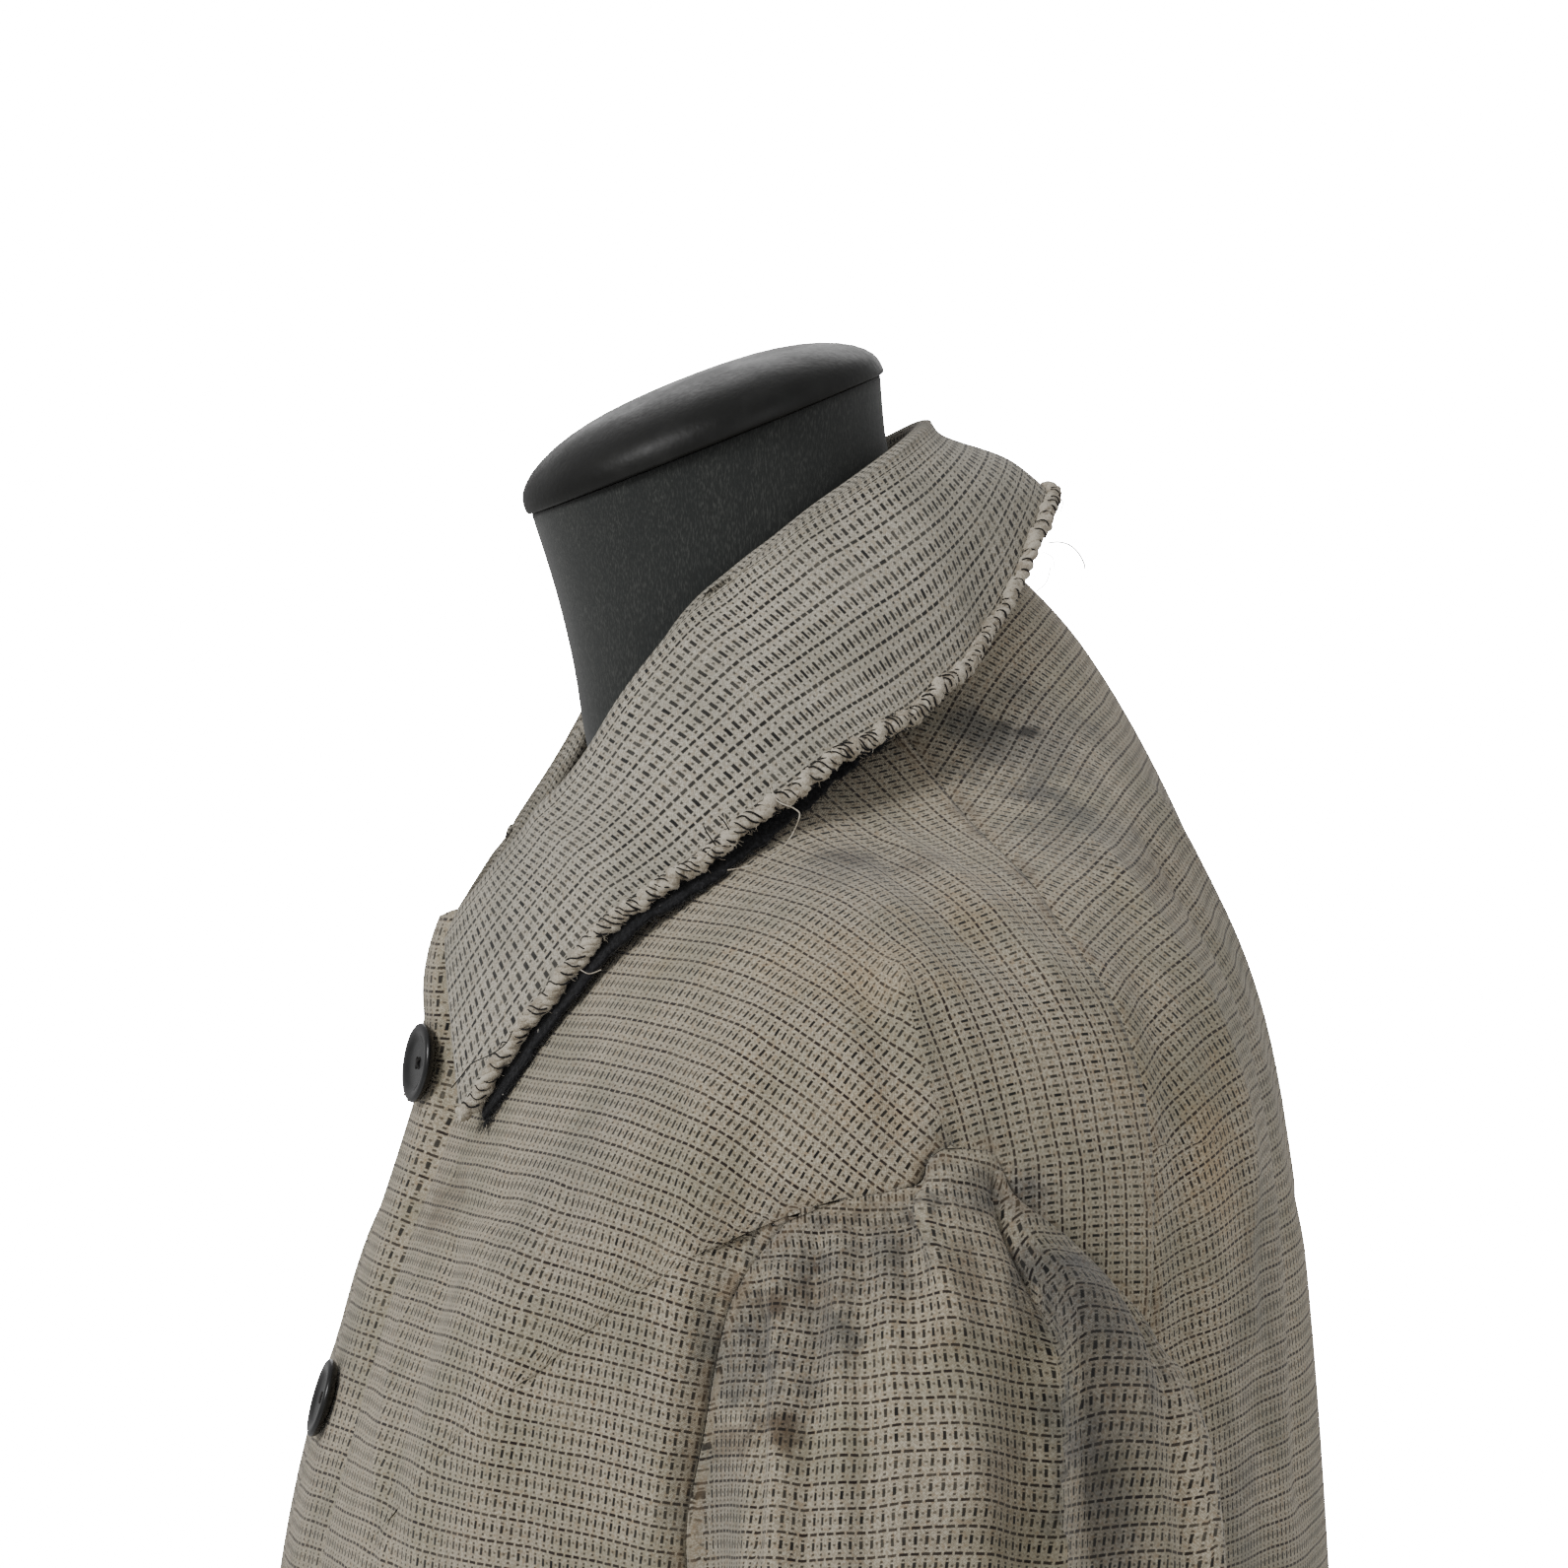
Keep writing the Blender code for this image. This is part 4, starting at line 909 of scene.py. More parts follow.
def sleeveSections(turn):
    angle, level = armholeLoop(turn)
    seam = bodyPoint(angle, level)
    square = sleeve["square"]
    sections = []
    for innerX, innerZ, outerX, outerZ, frontY, backY in sleeve["rings"]:
        forward, sideways = np.cos(turn), np.sin(turn)
        out = (forward - square * np.cos(3 * turn)) / (1 - square)
        fore = (sideways + square * np.sin(3 * turn)) / (1 - square)
        x = (innerX + outerX) / 2 + (outerX - innerX) / 2 * out
        z = (innerZ + outerZ) / 2 + (outerZ - innerZ) / 2 * out
        y = (frontY + backY) / 2 + (frontY - backY) / 2 * fore
        sections.append(np.stack([x, y, z], axis=-1))
    flow = unit(sections[0] - seam)
    return np.stack([seam, seam + flow * sleeve["flow"], *sections])


def foldEdge(turn, down):
    # degrees behind the big fold's edge, and how deep the drop is at this height
    edgeTurn, edgeDown = np.array(sleeve["edge"]).T
    deepDown, deep = np.array(sleeve["edgeDepth"]).T
    return np.interp(down, edgeDown, edgeTurn) - np.degrees(turn), np.interp(down, deepDown, deep)


def sleevePoint(turn, place, side, folded):
    def surface(turnHere, placeHere):
        return throughSections(sleeveSections(turnHere), placeHere)

    base = surface(turn, place)
    if folded:
        step = 0.01
        roundArm = surface(turn + step, place) - surface(turn - step, place)
        downArm = (surface(turn, np.minimum(place + step, 1))
                   - surface(turn, np.maximum(place - step, 0)))
        normal = unit(np.cross(downArm, roundArm))
        top = surface(np.zeros(1), np.zeros(1))[0, 2]
        down = top - base[:, 2]
        raised = np.zeros_like(turn)
        radius = sleeve["arcRadius"]
        for halfWidth, depth, path in sleeve["folds"] + sleeve["creases"]:
            line = [(math.radians(degrees) * radius, far) for degrees, far in path]
            raised += depth * nearPath(turn * radius, down, line, halfWidth)
        behind, deep = foldEdge(turn, down)
        drop = smoothStep(0.0, sleeve["edgeWide"], behind)
        drop = drop * (1 - smoothStep(0.0, sleeve["edgeBack"], behind))
        over = (sleeve["edgeOver"] * deep / sleeve["deepest"]
                * np.exp(-(((behind + 1.5) / 5.0) ** 2)) * (behind < 1.2))
        free = smoothStep(0.0, sleeve["foldsFrom"], place)[:, None]
        base = base + normal * raised[:, None] * free
        free = smoothStep(0.0, sleeve["edgeFrom"], place)[:, None]
        sunk = normal * (deep * drop * sleeve["edgeGain"])[:, None]
        base = base - (sunk + unit(roundArm) * over[:, None]) * free
    return base * np.array([side, 1.0, 1.0])


def makeSleeve(name, side, node):
    spots, turns = np.array(sleeve["columns"]).T
    turns = np.radians(turns)

    def surface(folded):
        def place(across, down):
            # the rows stand closest at the armhole
            turn = np.interp(across, spots, turns)
            return sleevePoint(turn, 0.35 * down + 0.65 * down**1.6, side, folded)

        return place

    def outward(spot):
        return Vector((spot.x - side * sleeve["axis"][0], spot.y - sleeve["axis"][1], 0.0))

    columns, rows = sleeve["coarse"]
    across, down = gridPoints(columns, rows)
    spot, shape = [surface(folded)(across, down).reshape(rows + 1, columns + 1, 3)
                   for folded in (False, True)]
    flat = hungFlat(spot, shape, side)
    size = tuple(float(span) for span in np.ptp(flat.reshape(-1, 2), axis=0))
    crossed = np.cross(spot[1:, 1:] - spot[:-1, :-1], spot[1:, :-1] - spot[:-1, 1:])
    area = float(np.linalg.norm(crossed, axis=-1).sum() / 2)
    lattice = steered([flat], [spot], ("sleeve",), (side,), 0, [shape])[0]
    cloth = newCloth()
    addGrid(cloth, *sleeve["fine"], surface(True), grainOf(lattice))
    across, down = gridPoints(*sleeve["fine"])
    made, plain = surface(True)(across, down), surface(False)(across, down)
    behind, deep = foldEdge(np.interp(across, spots, turns), plain[:, 2].max() - plain[:, 2])
    # painted shade: how dark the cloth is painted in the hollow behind the big fold's edge, darkest
    # where the drop is deepest
    hollowShade = (deep / sleeve["deepest"] * smoothStep(0.5, 4.0, behind)
              * (1 - smoothStep(4.0, 30.0, behind)))
    turn = np.linspace(-math.pi, math.pi, 1800)
    seam = [bodyPoint(side * armholeLoop(turn)[0], armholeLoop(turn)[1])]
    cuff = [sleevePoint(turn, np.full_like(turn, sleeve["cuffLine"]), side, True)]
    piece = finishCloth(name, cloth, outward, sleeve["wall"], seam, cuff, (made, hollowShade))
    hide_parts(node)
    cuts[name] = (size, area)
    return piece


# The collar

collar = {
    # neckAngle, foldX, foldY, foldZ, edgeX, edgeY, edgeZ, bulge, lift, rightBack
    "rows": [
        (180.0, 0.0000, 0.0453, 1.4749, 0.000, 0.0866, 1.4520, 0.003, 0.0060, 0.000),
        (148.0, 0.0436, 0.0297, 1.4641, 0.068, 0.0553, 1.4072, 0.004, 0.0055, 0.000),
        (118.0, 0.0640, -0.0084, 1.4373, 0.104, 0.0266, 1.3820, 0.005, 0.0070, 0.000),
        (92.0, 0.0650, -0.0394, 1.4129, 0.117, -0.0022, 1.3660, 0.005, 0.0070, 0.003),
        (62.0, 0.0530, -0.0680, 1.3707, 0.121, -0.0430, 1.3366, 0.005, 0.0018, 0.005),
        (38.0, 0.0340, -0.0890, 1.3419, 0.106, -0.0751, 1.3112, 0.003, 0.0007, 0.005),
        (13.0, 0.0120, -0.1038, 1.3187, 0.072, -0.1109, 1.2567, 0.001, 0.0006, 0.003),
    ],
    "centreY": -0.022,
    "roll": 0.0050,
    "seamIn": 0.0044,
    "lapIn": 0.0050,
    "wall": 0.0013,
    "plyGap": 0.0012,
    "underTrim": 0.002,
    # towards the front the under-collar reaches past the frayed edge
    "underReach": 0.0068,
    "underEndIn": 0.012,
    # half width, depth and a path of places along the collar and across it, in metres of cloth
    "creases": [
        (0.010, 0.0016, [(0.335, 0.040), (0.350, 0.075)]),
        (0.009, -0.0014, [(0.372, 0.036), (0.380, 0.080)]),
        (0.012, 0.0012, [(0.415, 0.040), (0.420, 0.085)]),
        (0.009, -0.0012, [(0.300, 0.050), (0.306, 0.088)]),
        (0.010, 0.0014, [(0.130, 0.040), (0.110, 0.082)]),
        (0.009, -0.0012, [(0.165, 0.040), (0.160, 0.085)]),
        (0.006, 0.0010, [(0.455, 0.048), (0.462, 0.090)]),
        (0.006, -0.0010, [(0.050, 0.045), (0.060, 0.088)]),
    ],
    "length": 0.52,
    "width": 0.095,
    # how far the weave is drawn out along the collar and across it
    "drawn": (1.06, 1.27),
    # in radii of the frayed roll
    "upperTrim": 1.35,
    "ragged": 0.0005,
    "wallGap": 0.0002,
    "fibreIn": 0.0008,
    # size and area of each ply's cut
    "upperCut": ((0.56, 0.12), 0.056),
    "underCut": ((0.56, 0.052), 0.026),
}
fray = {
    "radius": 0.0026,
    "gap": 0.0007,
    "wave": 0.0006,
    "waves": 19,
    "strands": 5,
    "strandOut": 0.00125,
    "strandRadius": 0.0014,
    "edgeLength": 0.62,
    "threadStep": 0.0027,
    "threadRadius": 0.00028,
    "threadLean": 0.0021,
    "fuzzCount": 900,
    "fuzzOut": 0.0022,
    "fuzzRadius": 0.00010,
    "looseRadius": 0.0002,
}


def collarTable(length):
    rows = np.array(collar["rows"])
    mirrored = rows[:0:-1] * np.array([-1, -1, 1, 1, -1, 1, 1, 1, 1, 1])
    mirrored[:, 0] += 360
    mirrored[:, 2] += mirrored[:, 9]
    return through(np.concatenate([mirrored, rows]), length * (2 * len(rows) - 2))


def collarSections(length, trim):
    table = collarTable(length)
    angle = np.radians(table[:, 0])
    fold, edge = table[:, 1:4], table[:, 4:7]
    seam = bodyPoint(angle, np.zeros_like(angle))
    out = fold - np.array([0.0, collar["centreY"], 0.0])
    out[:, 2] = 0
    out = unit(out)
    down = np.array([0.0, 0.0, -1.0])
    shoulder = fold + (out + down) * collar["roll"]
    fall = edge - shoulder
    bulge = unit(out - down)
    front = np.abs(2 * length - 1)
    seamIn = collar["seamIn"] + collar["lapIn"] * smoothStep(0.78, 0.95, front)
    return np.stack([
        seam - out * seamIn[:, None],
        fold + (down - out) * collar["roll"],
        fold,
        shoulder,
        shoulder + fall * 0.5 + bulge * table[:, 7:8],
        edge - unit(fall) * trim,
    ])


def collarPoint(length, width, trim=0.0, sink=0.0, creased=True):
    made = throughSections(collarSections(length, trim), width)
    step = 0.004

    def at(along, across):
        return throughSections(collarSections(np.clip(along, 0, 1), trim), np.clip(across, 0, 1))

    lengthwise = at(length + step, width) - at(length - step, width)
    across = at(length, width + step) - at(length, width - step)
    normal = unit(np.cross(across, lengthwise))
    raised = np.zeros_like(length) - sink
    if creased:
        far, deep = length * collar["length"], width * collar["width"]
        for halfWidth, depth, path in collar["creases"]:
            raised += depth * nearPath(far, deep, path, halfWidth)
    return made - normal * raised[:, None]


def collarOutward(spot):
    return Vector((spot.x, spot.y - collar["centreY"], 0.0))


def collarGrain(across, down):
    drawnLong, drawnWide = collar["drawn"]
    return np.stack([across * collar["length"] * drawnLong, down * collar["width"] * drawnWide], axis=-1)


def makeCollarUpper():
    def place(along, across):
        return collarPoint(along, across, collar["upperTrim"] * fray["radius"])

    cloth = newCloth()
    addGrid(cloth, 240, 70, place, collarGrain)
    piece = finishCloth("collarUpper", cloth, collarOutward, collar["wall"])
    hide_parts("collar_upper")
    return piece


def underEdge(length):
    return collar["underTrim"] - collar["underReach"] * smoothStep(0.42, 0.72, np.abs(2 * length - 1))


def makeCollarUnder():
    def place(along, across):
        length = np.clip(along, collar["underEndIn"], 1 - collar["underEndIn"])
        start = 0.52 + 0.26 * smoothStep(0.30, 0.62, np.abs(2 * length - 1))
        width = start + (1 - start) * across
        lift = collarTable(length)[:, 8]
        sink = (collar["wall"] + collar["wallGap"] + collar["plyGap"]
                + lift * smoothStep(0.45, 1.0, width))
        # the raw edge is cut a little unevenly
        ragged = (np.sin(length * 190) + 0.7 * np.sin(length * 431 + 1.3)
                  + 0.5 * np.sin(length * 977 + 0.4))
        trim = underEdge(length) - collar["ragged"] * ragged * smoothStep(0.7, 1.0, across)
        return collarPoint(length, width, trim[:, None], sink)

    cloth = newCloth()
    addGrid(cloth, 300, 30, place, collarGrain)
    piece = finishCloth("collarUnder", cloth, collarOutward, collar["wall"])
    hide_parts("collar_under")
    return piece


# Threads: many thin tubes as the splines of one curve, made a mesh

def threadMesh(name, paths, radius, sides=1):
    curve = bpy.data.curves.new(name, "CURVE")
    curve.dimensions = "3D"
    curve.bevel_depth = radius
    curve.bevel_resolution = sides
    curve.use_fill_caps = True
    for path, scale in paths:
        line = curve.splines.new("POLY")
        line.points.add(len(path) - 1)
        for point, spot, size in zip(line.points, path, scale):
            point.co = (*spot, 1.0)
            point.radius = size
    maker = linked(name, curve)
    bpy.context.view_layer.update()
    mesh = bpy.data.meshes.new_from_object(maker.evaluated_get(bpy.context.evaluated_depsgraph_get()))
    bpy.data.objects.remove(maker, do_unlink=True)
    mesh.name = name
    mesh.shade_smooth()
    return linked(name, mesh)


def frayCentre(along):
    outer = collarPoint(along, np.ones_like(along), fray["radius"] - fray["gap"])
    outer[:, 2] += fray["wave"] * np.sin(along * fray["waves"] * 2 * math.pi)
    return outer


def frayFrames(along):
    # centre of the roll with its two cross directions: away from the collar and out of it
    centre = frayCentre(along)
    inner = collarPoint(along, np.full_like(along, 0.95), fray["radius"])
    away = unit(centre - inner)
    step = 0.002
    run = unit(frayCentre(np.minimum(along + step, 1)) - frayCentre(np.maximum(along - step, 0)))
    out = unit(np.cross(away, run))
    out *= np.sign(np.sum(out * (centre - np.array([0.0, collar["centreY"], 1.30])), axis=1))[:, None]
    return centre, away, out, run


def makeFrayRoll():
    along = np.linspace(0.004, 0.996, 900)
    centre, away, out, _ = frayFrames(along)
    paths = []
    strands = fray["strands"]
    for strand in range(strands):
        phase = along * 300 + strand * 2 * math.pi / strands
        wander = 0.00055 * np.sin(along * 610 + strand) + 0.0004 * np.sin(along * 1490 + 2 * strand)
        offset = fray["strandOut"] + wander
        path = (centre + away * (np.cos(phase) * offset)[:, None]
                + out * (np.sin(phase) * offset)[:, None])
        paths.append((path, 1.0 + 0.25 * np.sin(along * 830 + 1.7 * strand)))
    piece = threadMesh("frayRoll", paths, fray["strandRadius"], 2)
    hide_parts("collar_frayed_edge")
    return piece


def makeFrayThreads():
    # black threads that curl across the roll
    count = int(fray["edgeLength"] / fray["threadStep"])
    along = np.linspace(0.012, 0.988, count) + dice.uniform(-0.0012, 0.0012, count)
    centre, away, out, run = frayFrames(along)
    paths = []
    for index in range(count):
        radius = fray["radius"] + dice.uniform(-0.0001, 0.0003)
        lean = dice.uniform(0.7, 1.6) * fray["threadLean"]
        start, end = dice.uniform(-0.55, 0.1), dice.uniform(2.2, 2.9)
        turn = np.linspace(start, end, 9)
        bend = np.linspace(-1, 1, 9)
        drift = (np.sign(bend) * np.abs(bend) ** dice.uniform(1.2, 2.6) * lean)[:, None]
        path = (centre[index] + away[index] * (np.cos(turn) * radius)[:, None]
                + out[index] * (np.sin(turn) * radius)[:, None] + run[index] * drift)
        paths.append((path, np.linspace(1.15, 0.75, 9) * dice.uniform(0.8, 1.25)))
    piece = threadMesh("frayThreads", paths, fray["threadRadius"])
    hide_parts("collar_frayed_edge")
    return piece


def makeFrayFuzz():
    # short pale fibre ends that stand off the roll
    count = fray["fuzzCount"]
    along = dice.uniform(0.006, 0.994, count)
    centre, away, out, run = frayFrames(along)
    paths = []
    for index in range(count):
        turn = dice.uniform(-2.2, 2.8)
        outward = away[index] * math.cos(turn) + out[index] * math.sin(turn)
        length = dice.uniform(0.0006, 0.0024)
        bend = run[index] * dice.uniform(-0.0014, 0.0014)
        steps = np.linspace(0, 1, 4)[:, None]
        path = centre[index] + outward * (fray["fuzzOut"] + steps * length) + bend * steps**2
        paths.append((path, np.linspace(1.0, 0.5, 4)))
    piece = threadMesh("frayFuzz", paths, fray["fuzzRadius"], 0)
    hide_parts("collar_frayed_edge")
    return piece


def atPixel(across, down, x):
    # the place that has this x on the camera's line of sight through a pixel
    azimuth = math.radians(camera["azimuth"])
    rightX, rightY = math.cos(azimuth), math.sin(azimuth)
    right = (across - camera["middle"]) * camera["pixel"]
    up = (camera["middle"] - down) * camera["pixel"]
    y = 0.0
    for _ in range(20):
        scale = camera["distance"] / (camera["distance"] - (x * rightY - y * rightX))
        y = (right / scale - x * rightX) / rightY
    return (x, y, camera["height"] + up / scale)


looseThreads = {
    # half thickness and points: pixel across, pixel down, x
    "pale": [
        (0.00022, [(780, 791, 0.119), (788, 812, 0.126), (807, 821, 0.129), (811, 830, 0.130),
                   (797, 857, 0.130), (770, 876, 0.130), (738, 883, 0.129)]),
        (0.00020, [(703, 872, 0.122), (711, 873, 0.127), (723, 860, 0.129), (738, 857, 0.129),
                   (746, 858, 0.128)]),
        (0.00016, [(589, 984, 0.110), (598, 988, 0.115), (610, 984, 0.118)]),
        (0.00018, [(1052, 600, 0.045), (1062, 590, 0.047), (1066, 575, 0.046)]),
        (0.00018, [(1066, 500, 0.010), (1078, 508, 0.012), (1076, 520, 0.010)]),
        (0.00016, [(742, 842, 0.121), (735, 826, 0.126), (738, 812, 0.124)]),
    ],
    "dark": [
        (0.00026, [(1064, 551, 0.020), (1074, 550, 0.026), (1085, 553, 0.030), (1094, 561, 0.032),
                   (1100, 572, 0.032), (1100, 577, 0.031)]),
        (0.00018, [(520, 1046, 0.098), (513, 1059, 0.096), (498, 1070, 0.092), (479, 1079, 0.087),
                   (468, 1092, 0.084), (458, 1104, 0.081)]),
        (0.00016, [(1058, 560, 0.020), (1068, 566, 0.026), (1070, 580, 0.028)]),
        (0.00022, [(742, 846, 0.121), (735, 834, 0.125), (729, 828, 0.124)]),
        (0.00022, [(728, 860, 0.121), (718, 846, 0.126), (714, 838, 0.124)]),
    ],
}


def smoothPath(points, count=24):
    return through(np.array(points, float), np.linspace(0, len(points) - 1, count))


def makeLooseThreads(name, threads):
    paths = []
    for halfThick, points in threads:
        path = smoothPath([atPixel(*point) for point in points])
        paths.append((path, np.full(len(path), halfThick / fray["looseRadius"])))
    piece = threadMesh(name, paths, fray["looseRadius"])
    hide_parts("collar_frayed_edge")
    return piece


tufts = {
    # place along the collar, count and length of each bunch
    "bunches": [(0.985, 60, 0.0045), (0.97, 40, 0.004), (0.50, 60, 0.0045), (0.53, 40, 0.004),
                (0.015, 40, 0.0045)],
    "spread": 0.010,
    "ends": (0.013, 0.987),
    "edgeCount": 700,
    "edgeLength": 0.0016,
    "radius": 0.00012,
}


def makeTufts():
    # black felt fibres at the collar's points, at the centre back and along the raw under edge
    paths = []
    for middle, count, length in tufts["bunches"]:
        for _ in range(count):
            along = np.clip(middle + dice.normal(0, tufts["spread"]), *tufts["ends"])
            paths.append(edgeFibre(along, length))
    for _ in range(tufts["edgeCount"]):
        paths.append(edgeFibre(dice.uniform(*tufts["ends"]), tufts["edgeLength"]))
    piece = threadMesh("underFibres", paths, tufts["radius"], 0)
    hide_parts("collar_under")
    return piece


def edgeFibre(along, length):
    place = np.array([along])
    lift = collarTable(place)[:, 8]
    sink = collar["wall"] + collar["fibreIn"] + collar["plyGap"] + lift
    start = collarPoint(place, np.ones(1), underEdge(place)[:, None], sink)[0]
    inner = collarPoint(place, np.full(1, 0.93), underEdge(place)[:, None], sink)[0]
    away = unit(start - inner) + dice.normal(0, 0.45, 3)
    steps = np.linspace(0, 1, 4)[:, None]
    curl = dice.normal(0, 0.4, 3)
    far = length * dice.uniform(0.5, 1.3)
    path = start + unit(away) * steps * far + curl * steps**2 * far
    return path, np.linspace(1.0, 0.6, 4) * dice.uniform(0.8, 1.3)


# Buttons

button = {
    "radius": 0.0125,
    "thick": 0.0036,
    "topZ": 1.2712,
    "step": 0.1040,
    "count": 5,
    "gap": 0.0004,
    "x": 0.009,
    "span": 0.14,
    "holeOut": 0.0019,
    "threadRadius": 0.00028,
    "threadApart": 0.0003,
    # shares of the thickness
    "threadTop": 0.66,
    "threadEnd": 0.55,
    # shares of the radius and of the thickness
    "profile": [(0.0, 0.60), (0.30, 0.61), (0.52, 0.64), (0.62, 0.70), (0.68, 0.82), (0.74, 0.93),
                (0.81, 0.985), (0.88, 1.0), (0.94, 0.96), (0.98, 0.86), (1.0, 0.70), (0.985, 0.48),
                (0.94, 0.25), (0.87, 0.08), (0.78, 0.0), (0.0, 0.0)],
}


def turnedShape(profile, steps):
    shape = bmesh.new()
    points = [shape.verts.new((radius, 0.0, height)) for radius, height in profile]
    edges = [shape.edges.new(pair) for pair in zip(points, points[1:])]
    bmesh.ops.spin(shape, geom=points + edges, cent=(0, 0, 0), axis=(0, 0, 1), angle=2 * math.pi,
                   steps=steps, use_merge=True, use_duplicate=False, dvec=(0, 0, 0))
    bmesh.ops.remove_doubles(shape, verts=shape.verts, dist=weldGap)
    bmesh.ops.recalc_face_normals(shape, faces=shape.faces)
    return shape


def makeButtons():
    radius, thick = button["radius"], button["thick"]
    profile = [(share * radius, high * thick) for share, high in button["profile"]]
    made, threads = [], []
    levels = np.linspace(0.3, hemLevel, 2000)
    heights = bodyBase(np.zeros(2000), levels)[:, 2]
    turnRound = np.linspace(0, 2 * math.pi, 24)
    discX = np.outer([1.0, 0.6], np.cos(turnRound)).ravel() * radius
    discZ = np.outer([1.0, 0.6], np.sin(turnRound)).ravel() * radius
    for number in range(button["count"]):
        z = button["topZ"] - number * button["step"]
        level = np.interp(-z, -heights, levels)
        width = through(bodyTable, np.array([level]))[0, 0]
        near = np.array([level - button["span"], level, level + button["span"]])
        spine = bodyPoint(np.full(3, button["x"] / width), near)
        beside = bodyPoint((button["x"] + np.array([-0.008, 0.008])) / width, near[[1, 1]])
        facing = Vector(np.cross(beside[1] - beside[0], spine[0] - spine[2])).normalized()
        under = bodyPoint((button["x"] + discX) / width, np.interp(-z - discZ, -heights, levels))
        proud = float(np.max((under - spine[1]) @ np.array(facing)))
        turn = facing.to_track_quat("Z", "Y").to_matrix().to_4x4()
        turn.translation = Vector(spine[1]) + facing * (proud + button["gap"])
        shape = turnedShape(profile, 64)
        shape.transform(turn)
        piece = shapeObject("button%d" % (number + 1), shape)
        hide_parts("button_%d" % (number + 1))
        made.append(piece)
        # the thread crosses between four sewing points
        for first, second in ((45, 225), (135, 315)):
            ends = []
            for degrees in (first, second):
                angle = math.radians(degrees)
                ends.append(Vector((math.cos(angle), math.sin(angle), 0)) * button["holeOut"])
            for shift in (-button["threadApart"], button["threadApart"]):
                side = Vector((ends[0].y, -ends[0].x, 0)).normalized() * shift
                high, low = thick * button["threadTop"], thick * button["threadEnd"]
                path = [ends[0] * 1.25 + side + Vector((0, 0, low)),
                        ends[0] + side + Vector((0, 0, high)),
                        side + Vector((0, 0, high + button["threadApart"])),
                        ends[1] + side + Vector((0, 0, high)),
                        ends[1] * 1.25 + side + Vector((0, 0, low))]
                threads.append(([turn @ spot for spot in path], [1.0] * 5))
    sewing = threadMesh("buttonThread", threads, button["threadRadius"])
    return made, sewing


# The dress form

form = {
    "tilt": 22.0,
    "neckTop": (0.0, -0.0248, 1.4665),
    "capEdge": 0.0605,
    "capRise": 0.0220,
    "neckLean": 0.22,
    # how far below the neck's top, half width, half depth and tilt
    "neck": [(0.000, 0.0570, 0.0590, 22.0), (0.025, 0.0545, 0.0575, 27.0),
             (0.050, 0.0550, 0.0600, 33.0), (0.085, 0.0580, 0.0720, 42.0)],
    # level on the body, how far inside the cloth, and how much further in at the sides
    "torso": [(0.50, 0.006, 0.000), (0.80, 0.001, 0.000), (1.10, 0.0012, 0.000), (1.50, 0.0008, 0.000),
              (1.90, 0.0010, 0.001), (2.30, 0.003, 0.016), (2.80, 0.006, 0.034), (3.40, 0.012, 0.036),
              (4.20, 0.024, 0.028), (5.00, 0.040, 0.024), (5.70, 0.036, 0.016), (6.20, 0.040, 0.014)],
    "inside": 0.0032,
    "frontIn": 0.007,
    "lowZ": 0.7850,
    "poleRadius": 0.016,
    "baseRadius": 0.212,
    "baseThick": 0.014,
    # shares of the cap's half width and of its rise
    "capProfile": [(0.0, 1.0), (0.10, 0.998), (0.20, 0.99), (0.31, 0.972), (0.42, 0.945),
                   (0.53, 0.90), (0.64, 0.835), (0.74, 0.75), (0.83, 0.645), (0.90, 0.535),
                   (0.95, 0.42), (0.98, 0.32), (0.995, 0.22), (1.0, 0.14), (1.0, 0.05),
                   (0.995, 0.015), (0.985, 0.0), (0.0, 0.0)],
}


def formRings(count):
    angle = np.arange(count) * 2 * math.pi / count
    side = np.abs(np.sin(angle)) ** 1.5
    ahead = smoothStep(0.55, 0.95, np.cos(angle))
    rings = []
    for down, wide, deep, tilt in form["neck"]:
        middle = np.array(form["neckTop"]) + np.array([0.0, down * form["neckLean"], -down])
        fore = np.array([0.0, -math.cos(math.radians(tilt)), -math.sin(math.radians(tilt))]) * deep
        rings.append(middle + np.outer(np.sin(angle), [wide, 0, 0]) + np.outer(np.cos(angle), fore))
    for level, close, wideIn in form["torso"]:
        inset = form["inside"] + close + wideIn * side + form["frontIn"] * ahead
        level = np.full(count, level)
        rings.append(bodyBase(angle, level) - bodyNormal(angle, level) * inset[:, None])
    return np.stack(rings)


def makeTorso():
    count, rows = 112, 90
    rings = formRings(count)

    def place(across, down):
        column = np.round(across * count).astype(int) % count
        ring = through(rings, down * (len(rings) - 1))
        return ring[np.arange(len(column)), column]

    def grain(across, down):
        return np.stack([across * 0.4, down * 0.8], axis=-1)

    shape = newCloth()
    addGrid(shape, count, rows, place, grain)
    bmesh.ops.remove_doubles(shape, verts=shape.verts, dist=weldGap)
    bmesh.ops.holes_fill(shape, edges=[edge for edge in shape.edges if edge.is_boundary], sides=0)
    bmesh.ops.recalc_face_normals(shape, faces=shape.faces)
    piece = shapeObject("formTorso", shape)
    for face in piece.data.polygons:
        if len(face.vertices) > 4:
            face.use_smooth = False
    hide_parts("form_torso")
    return piece


def makeCap():
    edge, rise = form["capEdge"], form["capRise"]
    shape = turnedShape([(share * edge, high * rise) for share, high in form["capProfile"]], 128)
    place = Vector(form["neckTop"]) + Vector((0, 0, 0.0003))
    tilt = math.radians(form["tilt"])
    turn = Vector((0, 0, 1)).rotation_difference(Vector((0, -math.sin(tilt), math.cos(tilt))))
    matrix = turn.to_matrix().to_4x4()
    matrix.translation = place
    shape.transform(matrix)
    piece = shapeObject("neckCap", shape)
    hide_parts("form_neck_cap")
    return piece


